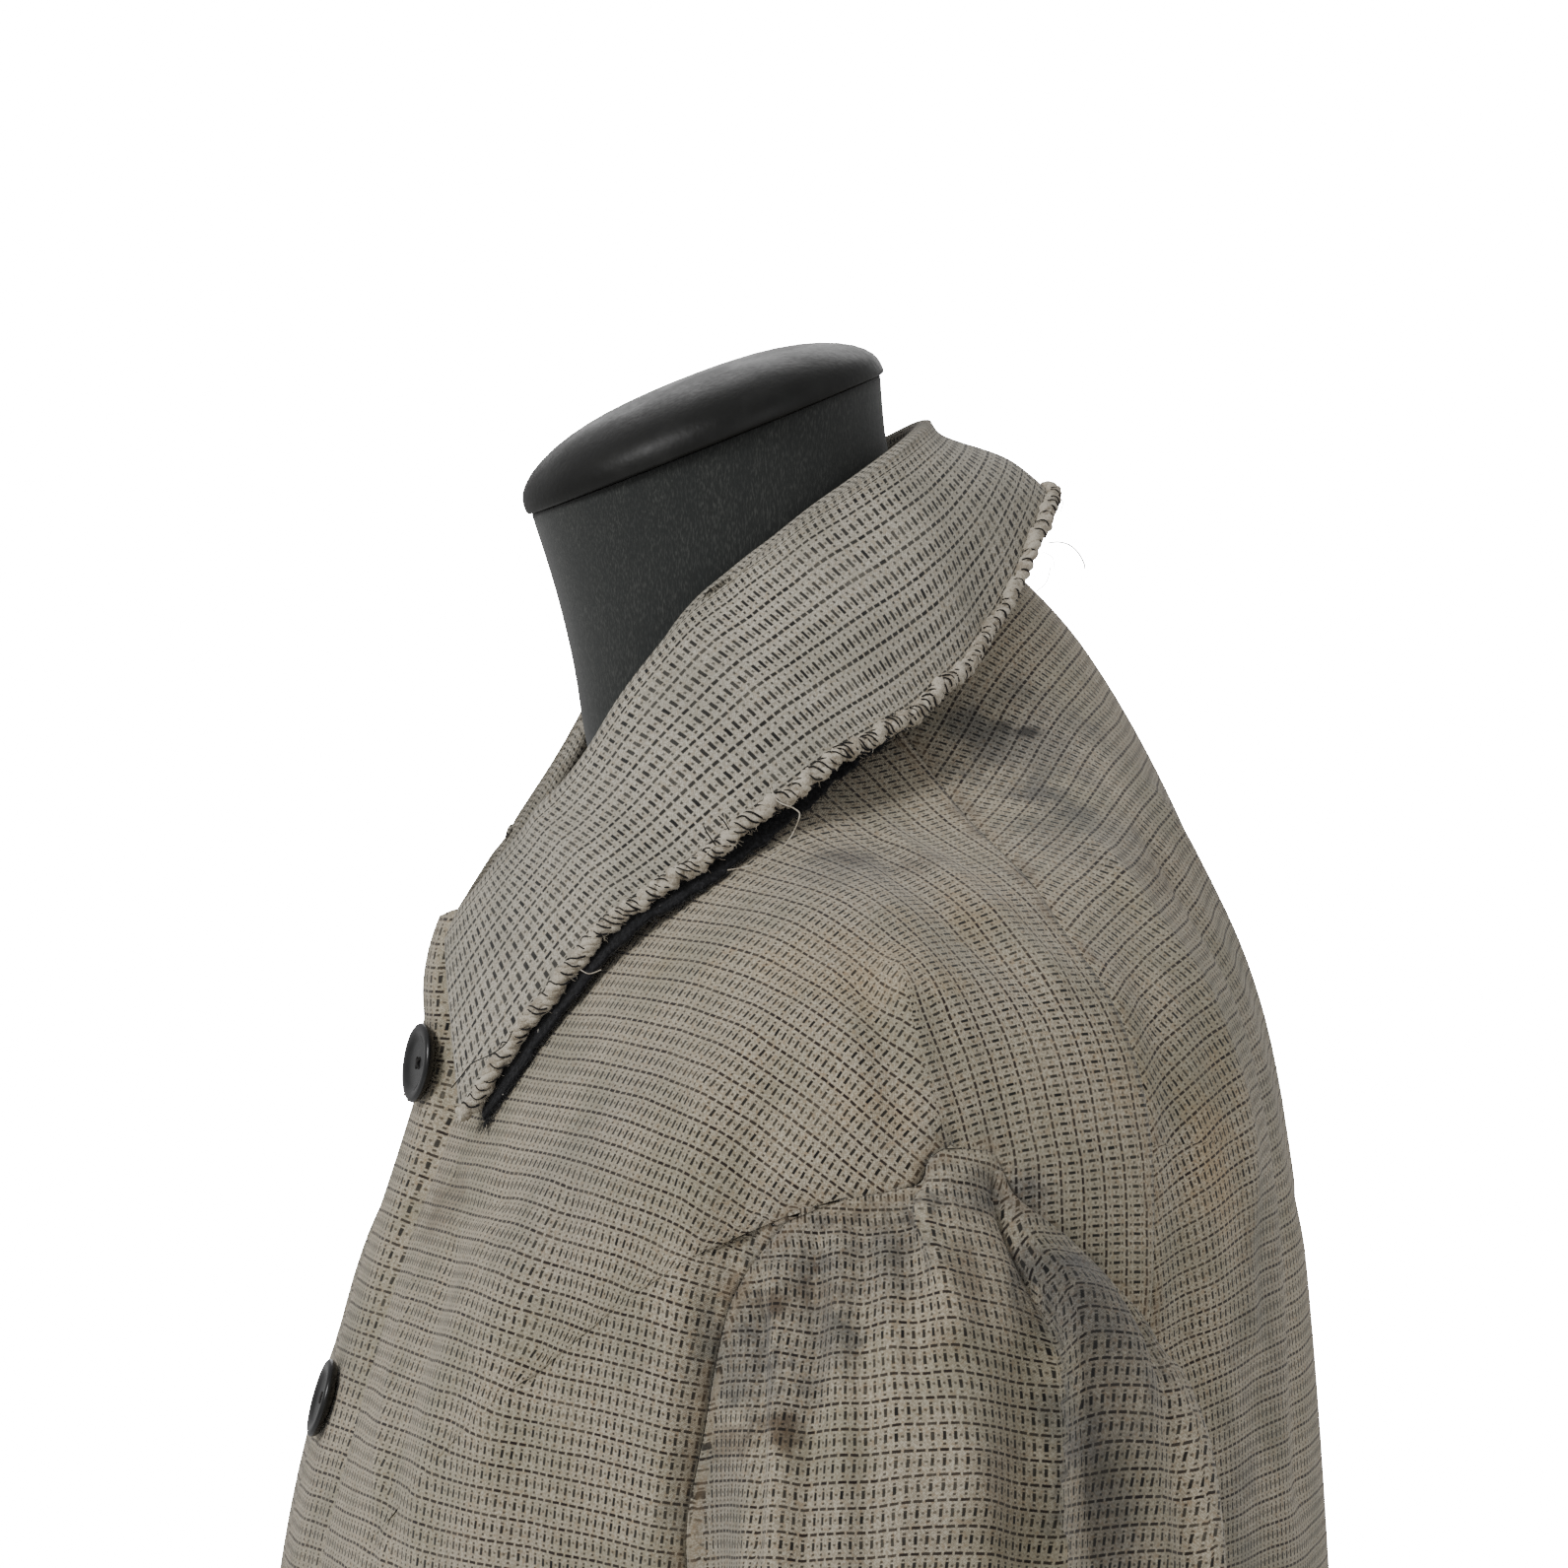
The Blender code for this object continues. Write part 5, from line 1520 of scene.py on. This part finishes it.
def makeStand():
    thick, radius = form["baseThick"], form["baseRadius"]
    base = [(0.0, thick + 0.010), (0.028, thick + 0.010), (0.032, thick + 0.0095),
            (0.034, thick + 0.008), (0.039, thick + 0.0052), (0.046, thick + 0.0038),
            (0.060, thick + 0.003), (radius - 0.010, thick - 0.0028),
            (radius - 0.005, thick - 0.0034), (radius - 0.002, thick - 0.005),
            (radius, thick - 0.008), (radius, 0.0015), (radius - 0.001, 0.0), (0.0, 0.0)]
    low, high = thick + 0.0103, form["lowZ"] - 0.0003
    pole = [(0.0, high), (form["poleRadius"], high), (form["poleRadius"], low), (0.0, low)]
    pieces = []
    for name, profile, node in (("standBase", base, "form_base"), ("standPole", pole, "form_pole")):
        piece = shapeObject(name, turnedShape(profile, 128))
        rim = piece.modifiers.new("edges", "BEVEL")
        rim.width = 0.0006
        rim.segments = 2
        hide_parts(node)
        pieces.append(piece)
    return pieces


print("hunting jacket: modelling")
torso = makeTorso()
frontLeft = makeFront("frontLeft", 1, "front_left")
frontRight = makeFront("frontRight", -1, "front_right")
print("hunting jacket: fronts made")
back = makeBack()
sleeveLeft = makeSleeve("sleeveLeft", 1, "sleeve_left")
sleeveRight = makeSleeve("sleeveRight", -1, "sleeve_right")
print("hunting jacket: back and sleeves made")
collarUpper = makeCollarUpper()
collarUnder = makeCollarUnder()
frayRoll = makeFrayRoll()
frayThreads = makeFrayThreads()
frayFuzz = makeFrayFuzz()
paleThreads = makeLooseThreads("paleThreads", looseThreads["pale"])
darkThreads = makeLooseThreads("darkThreads", looseThreads["dark"])
underFibres = makeTufts()
print("hunting jacket: collar made")
buttons, buttonThread = makeButtons()
neckCap = makeCap()
standPieces = makeStand()
for name, (size, area) in cuts.items():
    print("cut of %s: %.3f x %.3f m, %.3f m2" % (name, size[0], size[1], area))


# Finishes

class Shade:
    # a socket of a finish, on which sums can be written
    def __init__(self, finish, socket):
        self.finish, self.socket = finish, socket

    def math(self, operation, *others):
        made = self.finish.node("Math", {"operation": operation}, **dict(
            zip(("_0", "_1", "_2"), (self, *others))))
        return self.finish.out(made)

    def __add__(self, other): return self.math("ADD", other)
    def __radd__(self, other): return self.math("ADD", other)
    def __sub__(self, other): return self.math("SUBTRACT", other)
    def __rsub__(self, other): return (self * -1.0).math("ADD", other)
    def __mul__(self, other): return self.math("MULTIPLY", other)
    def __rmul__(self, other): return self.math("MULTIPLY", other)
    def __truediv__(self, other): return self.math("DIVIDE", other)


class Finish:
    def __init__(self, name, roughness=0.8, **fixed):
        self.material = bpy.data.materials.new(name)
        self.material.use_nodes = True
        self.nodes = self.material.node_tree.nodes
        self.links = self.material.node_tree.links
        self.surface = self.nodes["Principled BSDF"]
        self.surface.inputs["Roughness"].default_value = roughness
        for key, value in fixed.items():
            self.surface.inputs[key.replace("_", " ")].default_value = value

    def node(self, kind, settings=None, **sockets):
        made = self.nodes.new("ShaderNode" + kind)
        for key, value in (settings or {}).items():
            if key == "stops":
                elements = made.color_ramp.elements
                while len(elements) < len(value):
                    elements.new(0.5)
                for element, (place, colour) in zip(elements, value):
                    element.position = place
                    element.color = (*colour, 1.0)
            else:
                setattr(made, key, value)
        for key, value in sockets.items():
            socket = made.inputs[int(key[1:])] if key[0] == "_" else made.inputs[key.replace("_", " ")]
            if isinstance(value, Shade):
                self.links.new(value.socket, socket)
            else:
                socket.default_value = value
        return made

    def out(self, made, socket=0):
        return Shade(self, made.outputs[socket])

    def feed(self, name, value):
        self.links.new(value.socket, self.surface.inputs[name])

    def attribute(self, name):
        made = self.node("Attribute", {"attribute_name": name})
        parts = self.node("SeparateXYZ", None, _0=self.out(made, "Vector"))
        return [self.out(parts, index) for index in range(3)]

    def place(self):
        return self.out(self.node("TexCoord"), "Object")

    def noise(self, scale, detail=2.0, vector=None, roughness=0.5):
        made = self.node("TexNoise", None, Vector=vector or self.place(), Scale=scale, Detail=detail,
                         Roughness=roughness)
        return self.out(made, 0)

    def range(self, value, low, high, toLow=0.0, toHigh=1.0):
        made = self.node("MapRange", {"interpolation_type": "SMOOTHSTEP"}, _0=value, _1=low, _2=high,
                         _3=toLow, _4=toHigh)
        return self.out(made)

    def band(self, distance, half, soft):
        # 1 where the distance is less than half
        return self.range(distance, half - soft, half + soft, 1.0, 0.0)

    def mix(self, first, second, factor):
        made = self.node("Mix", {"data_type": "RGBA"}, _0=factor, _6=first, _7=second)
        return self.out(made, 2)

    def bump(self, height, strength, distance):
        made = self.node("Bump", None, Height=height, Strength=strength, Distance=distance)
        return self.out(made)

    def vector(self, operation, *values):
        made = self.node("VectorMath", {"operation": operation}, **dict(zip(("_0", "_1"), values)))
        return self.out(made, "Value" if operation == "LENGTH" else "Vector")

    def tinted(self, shade, tint):
        return self.vector("MULTIPLY", shade, tint)

    def on(self, slotName, *pieces):
        for piece in pieces:
            piece.data.materials.clear()
            piece.data.materials.append(self.material)


def colour(red, green, blue):
    # from the usual 0 to 255 values
    linear = [((v / 255 + 0.055) / 1.055) ** 2.4 if v > 10 else v / 3294.6 for v in (red, green, blue)]
    return (*linear, 1.0)


weave = {
    "cellWide": 0.00272,
    "cellHigh": 0.0074,
    "ground": (153, 142, 122),
    "pale": (192, 183, 163),
    "tan": (152, 128, 98),
    "green": (122, 121, 100),
    "dash": (26, 10, 8),
    "black": (7, 6, 7),
    "dot": (38, 28, 19),
    "smoke": (92, 96, 104),
    "earth": (74, 54, 36),
    "ochre": (168, 132, 84),
    # how each kind of stain tints the cloth under it, and how the painted shade in the sleeve's fold
    # hollow darkens it
    "tints": {"smoke": (0.36, 0.39, 0.47), "earth": (0.30, 0.22, 0.16), "ochre": (1.04, 0.84, 0.58),
              "black": (0.10, 0.10, 0.11), "hollowShade": (0.30, 0.30, 0.31)},
    # place, radii, strength and kind of each stain
    "stains": [
        ((0.085, 0.060, 1.369), (0.034, 0.026, 0.026), 0.59, "smoke"),
        ((0.115, 0.068, 1.344), (0.034, 0.026, 0.016), 0.55, "smoke"),
        ((0.085, 0.044, 1.375), (0.020, 0.016, 0.01), 0.44, "smoke"),
        ((0.155, 0.006, 1.338), (0.030, 0.018, 0.006), 0.37, "smoke"),
        ((0.150, -0.008, 1.335), (0.030, 0.014, 0.006), 0.33, "smoke"),
        ((0.205, 0.001, 1.238), (0.030, 0.013, 0.0055), 0.70, "smoke"),
        ((0.207, 0.006, 1.240), (0.030, 0.006, 0.004), 0.54, "black"),
        ((0.215, 0.021, 1.243), (0.030, 0.017, 0.007), 0.55, "smoke"),
        ((0.215, 0.034, 1.238), (0.030, 0.012, 0.007), 0.52, "smoke"),
        ((0.205, -0.033, 1.228), (0.034, 0.011, 0.016), 0.59, "smoke"),
        ((0.215, -0.042, 1.208), (0.034, 0.01, 0.012), 0.48, "smoke"),
        ((0.215, -0.049, 1.193), (0.036, 0.014, 0.015), 0.59, "smoke"),
        ((0.235, -0.033, 1.212), (0.034, 0.016, 0.022), 0.41, "smoke"),
        ((0.240, -0.026, 1.198), (0.034, 0.01, 0.016), 0.44, "smoke"),
        ((0.235, -0.013, 1.218), (0.034, 0.016, 0.018), 0.44, "smoke"),
        ((0.230, -0.005, 1.228), (0.034, 0.012, 0.012), 0.48, "smoke"),
        ((0.220, -0.054, 1.152), (0.036, 0.012, 0.026), 0.44, "smoke"),
        ((0.235, -0.039, 1.181), (0.034, 0.012, 0.012), 0.41, "smoke"),
        ((0.235, 0.046, 1.209), (0.040, 0.016, 0.018), 0.67, "smoke"),
        ((0.225, 0.061, 1.195), (0.040, 0.012, 0.014), 0.55, "smoke"),
        ((0.230, 0.040, 1.220), (0.040, 0.01, 0.012), 0.52, "smoke"),
        ((0.240, 0.049, 1.155), (0.040, 0.014, 0.026), 0.70, "smoke"),
        ((0.245, 0.042, 1.175), (0.040, 0.01, 0.018), 0.52, "smoke"),
        ((0.225, 0.066, 1.176), (0.040, 0.01, 0.02), 0.37, "smoke"),
        ((0.225, -0.039, 1.211), (0.030, 0.0055, 0.0055), 0.81, "earth"),
        ((0.238, -0.039, 1.175), (0.030, 0.006, 0.007), 0.77, "earth"),
        ((0.225, -0.051, 1.172), (0.030, 0.006, 0.006), 0.51, "earth"),
        ((0.215, -0.048, 1.214), (0.030, 0.005, 0.006), 0.51, "earth"),
        ((0.230, -0.028, 1.214), (0.030, 0.008, 0.005), 0.38, "earth"),
        ((0.250, 0.007, 1.204), (0.030, 0.006, 0.02), 0.30, "earth"),
        ((0.245, 0.015, 1.221), (0.030, 0.006, 0.016), 0.34, "earth"),
        ((0.255, 0.020, 1.151), (0.030, 0.01, 0.02), 0.26, "earth"),
        ((0.205, -0.011, 1.236), (0.030, 0.014, 0.006), 0.38, "earth"),
        ((0.165, 0.027, 1.319), (0.030, 0.02, 0.014), 0.38, "ochre"),
        ((0.175, 0.060, 1.272), (0.030, 0.018, 0.016), 0.38, "ochre"),
        ((0.180, -0.004, 1.305), (0.040, 0.03, 0.012), 0.30, "ochre"),
        ((0.170, 0.097, 1.248), (0.030, 0.014, 0.034), 0.47, "ochre"),
        ((0.190, 0.000, 1.264), (0.030, 0.024, 0.016), 0.34, "ochre"),
        ((0.140, -0.037, 1.303), (0.030, 0.02, 0.01), 0.30, "ochre"),
        ((0.155, 0.005, 1.341), (0.020, 0.02, 0.006), 0.38, "earth"),
        ((0.060, -0.112, 1.231), (0.030, 0.016, 0.012), 0.38, "earth"),
        ((0.110, -0.088, 1.236), (0.030, 0.014, 0.008), 0.26, "earth"),
        ((0.050, -0.120, 1.241), (0.020, 0.006, 0.01), 0.42, "earth"),
        ((0.170, 0.051, 1.298), (0.030, 0.01, 0.008), 0.30, "earth"),
        ((0.120, 0.094, 1.329), (0.030, 0.01, 0.01), 0.30, "earth"),
        ((0.086, 0.062, 1.376), (0.012, 0.0045, 0.0018), 0.81, "black"),
        ((0.084, 0.055, 1.378), (0.012, 0.0035, 0.0022), 0.63, "black"),
        ((0.155, 0.010, 1.342), (0.012, 0.005, 0.0016), 0.72, "black"),
        ((0.155, 0.014, 1.341), (0.012, 0.005, 0.0012), 0.63, "black"),
        ((0.110, 0.068, 1.353), (0.020, 0.014, 0.004), 0.37, "smoke"),
        ((0.170, -0.049, 1.234), (0.030, 0.01, 0.02), 0.33, "smoke"),
        ((0.185, -0.057, 1.207), (0.030, 0.006, 0.03), 0.26, "smoke"),
        ((0.160, 0.116, 1.203), (0.030, 0.016, 0.05), 0.30, "smoke"),
        ((0.170, 0.101, 1.154), (0.030, 0.014, 0.05), 0.33, "smoke"),
        ((0.130, -0.090, 1.171), (0.030, 0.02, 0.016), 0.26, "earth"),
        ((0.160, -0.071, 1.185), (0.030, 0.014, 0.03), 0.18, "smoke"),
        ((0.090, -0.121, 1.151), (0.030, 0.014, 0.04), 0.26, "smoke"),
        ((-0.120, 0.110, 1.310), (0.040, 0.030, 0.030), 0.44, "smoke"),
        ((-0.215, 0.000, 1.235), (0.030, 0.030, 0.012), 0.52, "smoke"),
        ((-0.215, -0.045, 1.200), (0.034, 0.014, 0.020), 0.48, "smoke"),
        ((-0.240, 0.060, 1.150), (0.040, 0.018, 0.040), 0.52, "smoke"),
        ((-0.180, -0.050, 1.250), (0.050, 0.030, 0.020), 0.38, "ochre"),
        ((-0.060, 0.140, 1.180), (0.040, 0.030, 0.030), 0.37, "smoke"),
        ((-0.120, -0.130, 1.120), (0.030, 0.030, 0.020), 0.34, "earth"),
        ((0.070, 0.150, 1.000), (0.050, 0.030, 0.040), 0.38, "earth"),
        ((0.150, -0.120, 0.900), (0.050, 0.030, 0.050), 0.30, "smoke"),
        ((0.300, 0.030, 0.760), (0.040, 0.040, 0.030), 0.44, "smoke"),
        ((-0.300, 0.010, 0.750), (0.040, 0.040, 0.030), 0.44, "smoke"),
        ((0.295, -0.040, 0.900), (0.030, 0.020, 0.030), 0.34, "earth"),
        ((-0.060, 0.100, 1.380), (0.030, 0.030, 0.020), 0.37, "smoke"),
        ((0.000, 0.160, 1.250), (0.020, 0.030, 0.050), 0.26, "smoke"),
    ],
}


def wovenCloth(name, tones, dirt=1.0):
    finish = Finish(name, 0.92, Sheen_Weight=0.18, Sheen_Roughness=0.55, Specular_IOR_Level=0.25)
    u, v, _ = finish.attribute("grain")
    seam, stitch, hollowShade = finish.attribute("marks")
    place = finish.place()
    waver = finish.noise(26.0, 2.0) - 0.5
    drift = finish.noise(19.0, 2.0, finish.vector("ADD", place, (3.1, 7.7, 1.9))) - 0.5
    shake = finish.noise(420.0, 1.0) - 0.5
    across = (u + waver * (0.0040 * tones["waver"]) + shake * 0.00030) / weave["cellWide"]
    along = (v + drift * (0.0065 * tones["waver"]) + shake * 0.00030) / weave["cellHigh"]
    column = ((across + 0.5).math("FRACT") - 0.5).math("ABSOLUTE")
    between = 0.5 - column
    row = along.math("FRACT")
    line = ((along + 0.5).math("FRACT") - 0.5).math("ABSOLUTE")

    def mark(sideways, halfWide, centre, halfHigh, softWide=0.05, softHigh=0.018):
        upright = line if centre == 0 else (row - centre).math("ABSOLUTE")
        return finish.band(sideways, halfWide, softWide) * finish.band(upright, halfHigh, softHigh)

    dash = mark(column, 0.39, 0, 0.058)
    tall = mark(column, tones["tallHalf"], 0.52, 0.165)
    dots = mark(column, 0.14, 0.21, 0.046).math("MAXIMUM", mark(column, 0.14, 0.786, 0.046))
    dots = dots.math("MAXIMUM", mark(between, 0.13, 0.54, 0.050) * 0.85)
    whole = finish.out(finish.node("CombineXYZ", None, _0=across.math("ROUND"),
                                   _1=(along * 2.0).math("ROUND")))
    chance = finish.out(finish.node("TexWhiteNoise", {"noise_dimensions": "2D"}, Vector=whole), "Value")
    worn = finish.range(finish.noise(60.0, 3.0), 0.45, 0.80, 1.0, 0.80)
    strength = (0.88 + chance * 0.12) * worn
    # the ground: a plain weave of pale and tan yarns
    ribs = (across * (math.pi * 2 * 4)).math("SINE") * (along * (math.pi * 2 * 10)).math("SINE")
    yarn = finish.noise(1500.0, 2.0)
    broad = finish.noise(9.0, 3.0)
    ground = finish.mix(colour(*tones["ground"]), colour(*tones["pale"]),
                        finish.range(yarn + ribs * 0.10, 0.40, 0.66))
    ground = finish.mix(ground, colour(*tones["tan"]),
                        finish.range(finish.noise(700.0, 1.0), 0.50, 0.75) * 0.55)
    ground = finish.mix(ground, colour(*tones["green"]),
                        finish.range(finish.noise(34.0, 3.0), 0.42, 0.66) * 0.35)
    ground = finish.mix(ground, colour(*tones["smoke"]), finish.range(broad, 0.48, 0.80) * (0.24 * dirt))
    cloth = finish.mix(ground, colour(*tones["dash"]), dash * strength)
    cloth = finish.mix(cloth, colour(*tones["dot"]), dots * strength * 0.92)
    cloth = finish.mix(cloth, colour(*tones["black"]), tall * strength)
    blotch = finish.noise(75.0, 4.0)
    mottle = (blotch - 0.5) * 2.4 + (finish.noise(420.0, 2.0) - 0.5) * 0.9
    for centre, radii, amount, kind in weave["stains"] if dirt > 0.5 else []:
        away = finish.vector("DIVIDE", finish.vector("SUBTRACT", place, centre), radii)
        spot = finish.range(finish.vector("LENGTH", away) + mottle, 0.25, 1.35, 1.0, 0.0)
        cloth = finish.mix(cloth, finish.tinted(cloth, weave["tints"][kind]), spot * amount)
    # painted shade: the cloth darkened in the hollow behind the sleeve's big fold, unevenly by a blotch
    # noise
    hollowShade = hollowShade * finish.range(blotch, 0.25, 0.60, 0.55, 1.0)
    cloth = finish.mix(cloth, finish.tinted(cloth, weave["tints"]["hollowShade"]), hollowShade)
    specks = finish.range(finish.noise(330.0, 0.0), 0.80, 0.86) * (0.35 * dirt)
    cloth = finish.mix(cloth, colour(*weave["earth"]), specks)
    # the seams: a line that comes and goes, and rubbed cloth along it
    seamLine = finish.band(seam, 0.0005, 0.0006) * finish.range(finish.noise(95.0, 2.0), 0.44, 0.60)
    twist = finish.range(finish.noise(620.0, 1.0), 0.46, 0.54)
    seamTone = finish.mix(colour(*weave["earth"]), colour(*tones["pale"]), twist)
    cloth = finish.mix(cloth, seamTone, seamLine * 0.40)
    ridge = finish.band(seam, 0.0040, 0.0020) * (1.0 - finish.band(seam, 0.0010, 0.0008))
    cloth = finish.mix(cloth, colour(*tones["tan"]), ridge * finish.range(blotch, 0.40, 0.60) * 0.30)
    seamDirt = finish.band(seam, 0.0060, 0.0060) * finish.range(blotch, 0.48, 0.66)
    cloth = finish.mix(cloth, finish.tinted(cloth, weave["tints"]["smoke"]), seamDirt * (0.45 * dirt))
    stitchLine = finish.band(stitch, 0.00055, 0.0003) * finish.band(
        ((u / 0.0034).math("FRACT") - 0.5).math("ABSOLUTE"), 0.33, 0.05)
    cloth = finish.mix(cloth, colour(*tones["black"]), stitchLine * 0.8)
    finish.feed("Base Color", cloth)
    height = (ribs * 0.22 + yarn * 0.5 + dash * 0.55 + tall * 0.45 + dots * 0.3
              - seamLine * 0.8 - stitchLine)
    finish.feed("Normal", finish.bump(height, 0.55, 0.00045))
    return finish


collarTones = dict(weave, ground=(158, 151, 136), pale=(196, 190, 176), tan=(154, 138, 114),
                   green=(134, 131, 117), dash=(10, 8, 8), dot=(24, 20, 17), tallHalf=0.19, waver=0.22)
jacketCloth = wovenCloth("jacketCloth", dict(weave, tallHalf=0.155, waver=0.55))
jacketCloth.on("woven_cloth", frontLeft, frontRight, back, sleeveLeft, sleeveRight)
collarCloth = wovenCloth("collarCloth", collarTones, 0.35)
collarCloth.on("woven_cloth", collarUpper)


def feltCloth():
    finish = Finish("underCollarFelt", 0.95, Sheen_Weight=0.1, Specular_IOR_Level=0.2)
    fibres = finish.noise(900.0, 3.0)
    lint = finish.range(finish.noise(520.0, 1.0), 0.74, 0.80)
    black = finish.mix(colour(16, 16, 18), colour(40, 40, 43), finish.range(fibres, 0.35, 0.75))
    finish.feed("Base Color", finish.mix(black, colour(190, 186, 178), lint * 0.75))
    finish.feed("Normal", finish.bump(fibres + lint * 0.6, 0.7, 0.0006))
    return finish


def yarnCloth(name, pale, dark, share):
    finish = Finish(name, 0.92, Sheen_Weight=0.15, Specular_IOR_Level=0.2)
    along = finish.noise(240.0, 2.0)
    fine = finish.noise(1900.0, 2.0)
    streaks = finish.range(along * 0.5 + fine * 0.5, 0.42, 0.62)
    finish.feed("Base Color", finish.mix(colour(*pale), colour(*dark), streaks * share))
    finish.feed("Normal", finish.bump(fine, 0.5, 0.0003))
    return finish


feltCloth().on("black_under_collar", collarUnder)
yarnCloth("frayYarn", (196, 188, 172), (138, 126, 108), 0.8).on(
    "frayed_yarn", frayRoll, frayFuzz, paleThreads)
yarnCloth("blackYarn", (20, 19, 20), (44, 40, 38), 0.5).on("frayed_yarn", frayThreads, darkThreads)
yarnCloth("blackFibre", (18, 18, 20), (44, 42, 42), 0.5).on("black_under_collar", underFibres)


def gloss(name, base, low, high, scale, crackle=0.06, **fixed):
    finish = Finish(name, low, **fixed)
    wear = finish.noise(scale, 4.0)
    fine = finish.noise(scale * 9, 2.0)
    finish.feed("Base Color", finish.mix(colour(*base), colour(*[value + 16 for value in base]),
                                         finish.range(wear, 0.45, 0.8)))
    finish.feed("Roughness", finish.range(wear * 0.7 + fine * 0.3, 0.3, 0.7, low, high))
    finish.feed("Normal", finish.bump(wear * 0.6 + fine * 0.4, crackle, 0.0004))
    return finish


gloss("buttonHorn", (16, 16, 17), 0.22, 0.36, 160.0, Specular_IOR_Level=0.5).on("black_button", *buttons)
yarnCloth("buttonThreadYarn", (24, 22, 22), (52, 48, 44), 0.5).on("black_button", buttonThread)
gloss("neckCapLacquer", (17, 17, 16), 0.36, 0.52, 60.0, 0.6, Specular_IOR_Level=0.28).on(
    "black_cap", neckCap)
gloss("standPaint", (20, 20, 21), 0.38, 0.52, 30.0).on("black_stand", *standPieces)


def heatherCloth():
    finish = Finish("heatherJersey", 0.9, Sheen_Weight=0.25, Sheen_Roughness=0.5,
                    Specular_IOR_Level=0.25)
    place = finish.place()
    long = finish.out(finish.node("Mapping", None, Vector=place, Scale=(1.0, 1.0, 0.22)))
    streaks = finish.noise(2300.0, 1.0, long)
    broad = finish.noise(160.0, 2.0, long)
    base = finish.mix(colour(40, 42, 41), colour(68, 69, 67), finish.range(streaks, 0.42, 0.80))
    finish.feed("Base Color", finish.mix(base, colour(38, 40, 40), finish.range(broad, 0.4, 0.7) * 0.5))
    finish.feed("Normal", finish.bump(streaks, 0.3, 0.0003))
    return finish


heatherCloth().on("charcoal_form_cloth", torso)
print("hunting jacket: finishes made")


# Floor, light and camera

studio = {
    "floorHalf": 6.0,
    "floorTone": (0.86, 0.86, 0.85, 1.0),
    "softLight": 0.50,
    # what the camera sees behind the object
    "whiteGround": 40.0,
    # name, place, aim, size and power
    "lights": [
        ("key", (1.5, -2.3, 2.9), (0.1, 0.0, 1.25), 1.1, 58.0),
        ("fill", (2.4, 1.2, 1.9), (0.1, 0.0, 1.25), 1.6, 8.0),
        ("behind", (-1.8, 0.4, 2.4), (0.0, 0.0, 1.2), 1.6, 12.0),
    ],
}


def makeStage():
    floor = bmesh.new()
    bmesh.ops.create_grid(floor, x_segments=1, y_segments=1, size=studio["floorHalf"])
    piece = shapeObject("floor", floor)
    finish = Finish("paleFloor", 0.8)
    finish.surface.inputs["Base Color"].default_value = studio["floorTone"]
    piece.data.materials.append(finish.material)
    world = bpy.data.worlds.new("studio")
    world.use_nodes = True
    nodes, links = world.node_tree.nodes, world.node_tree.links
    soft, white = nodes["Background"], nodes.new("ShaderNodeBackground")
    for ground, strength in ((soft, studio["softLight"]), (white, studio["whiteGround"])):
        ground.inputs["Color"].default_value = (1.0, 1.0, 1.0, 1.0)
        ground.inputs["Strength"].default_value = strength
    both = nodes.new("ShaderNodeMixShader")
    links.new(nodes.new("ShaderNodeLightPath").outputs["Is Camera Ray"], both.inputs[0])
    links.new(soft.outputs[0], both.inputs[1])
    links.new(white.outputs[0], both.inputs[2])
    links.new(both.outputs[0], nodes["World Output"].inputs["Surface"])
    bpy.context.scene.world = world


def makeLight(name, place, aim, size, power):
    light = bpy.data.lights.new(name, "AREA")
    light.size = size
    light.energy = power
    piece = linked(name, light)
    piece.location = place
    piece.rotation_euler = (Vector(aim) - Vector(place)).to_track_quat("-Z", "Y").to_euler()


def makeCamera():
    azimuth = math.radians(camera["azimuth"])
    lens = bpy.data.cameras.new("camera")
    lens.lens = camera["lens"]
    lens.clip_end = 50.0
    piece = linked("camera", lens)
    away = Vector((math.sin(azimuth), -math.cos(azimuth), 0.0)) * camera["distance"]
    piece.location = away + Vector((0, 0, camera["height"]))
    piece.rotation_euler = (-away).to_track_quat("-Z", "Y").to_euler()
    bpy.context.scene.camera = piece


makeStage()
for light in studio["lights"]:
    makeLight(*light)
makeCamera()

allPieces = [torso, frontLeft, frontRight, back, sleeveLeft, sleeveRight, collarUpper, collarUnder,
             frayRoll, frayThreads, frayFuzz, paleThreads, darkThreads, underFibres, buttonThread,
             neckCap, *buttons, *standPieces]
for piece in allPieces:
    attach(piece, "root")

print("hunting jacket: done")
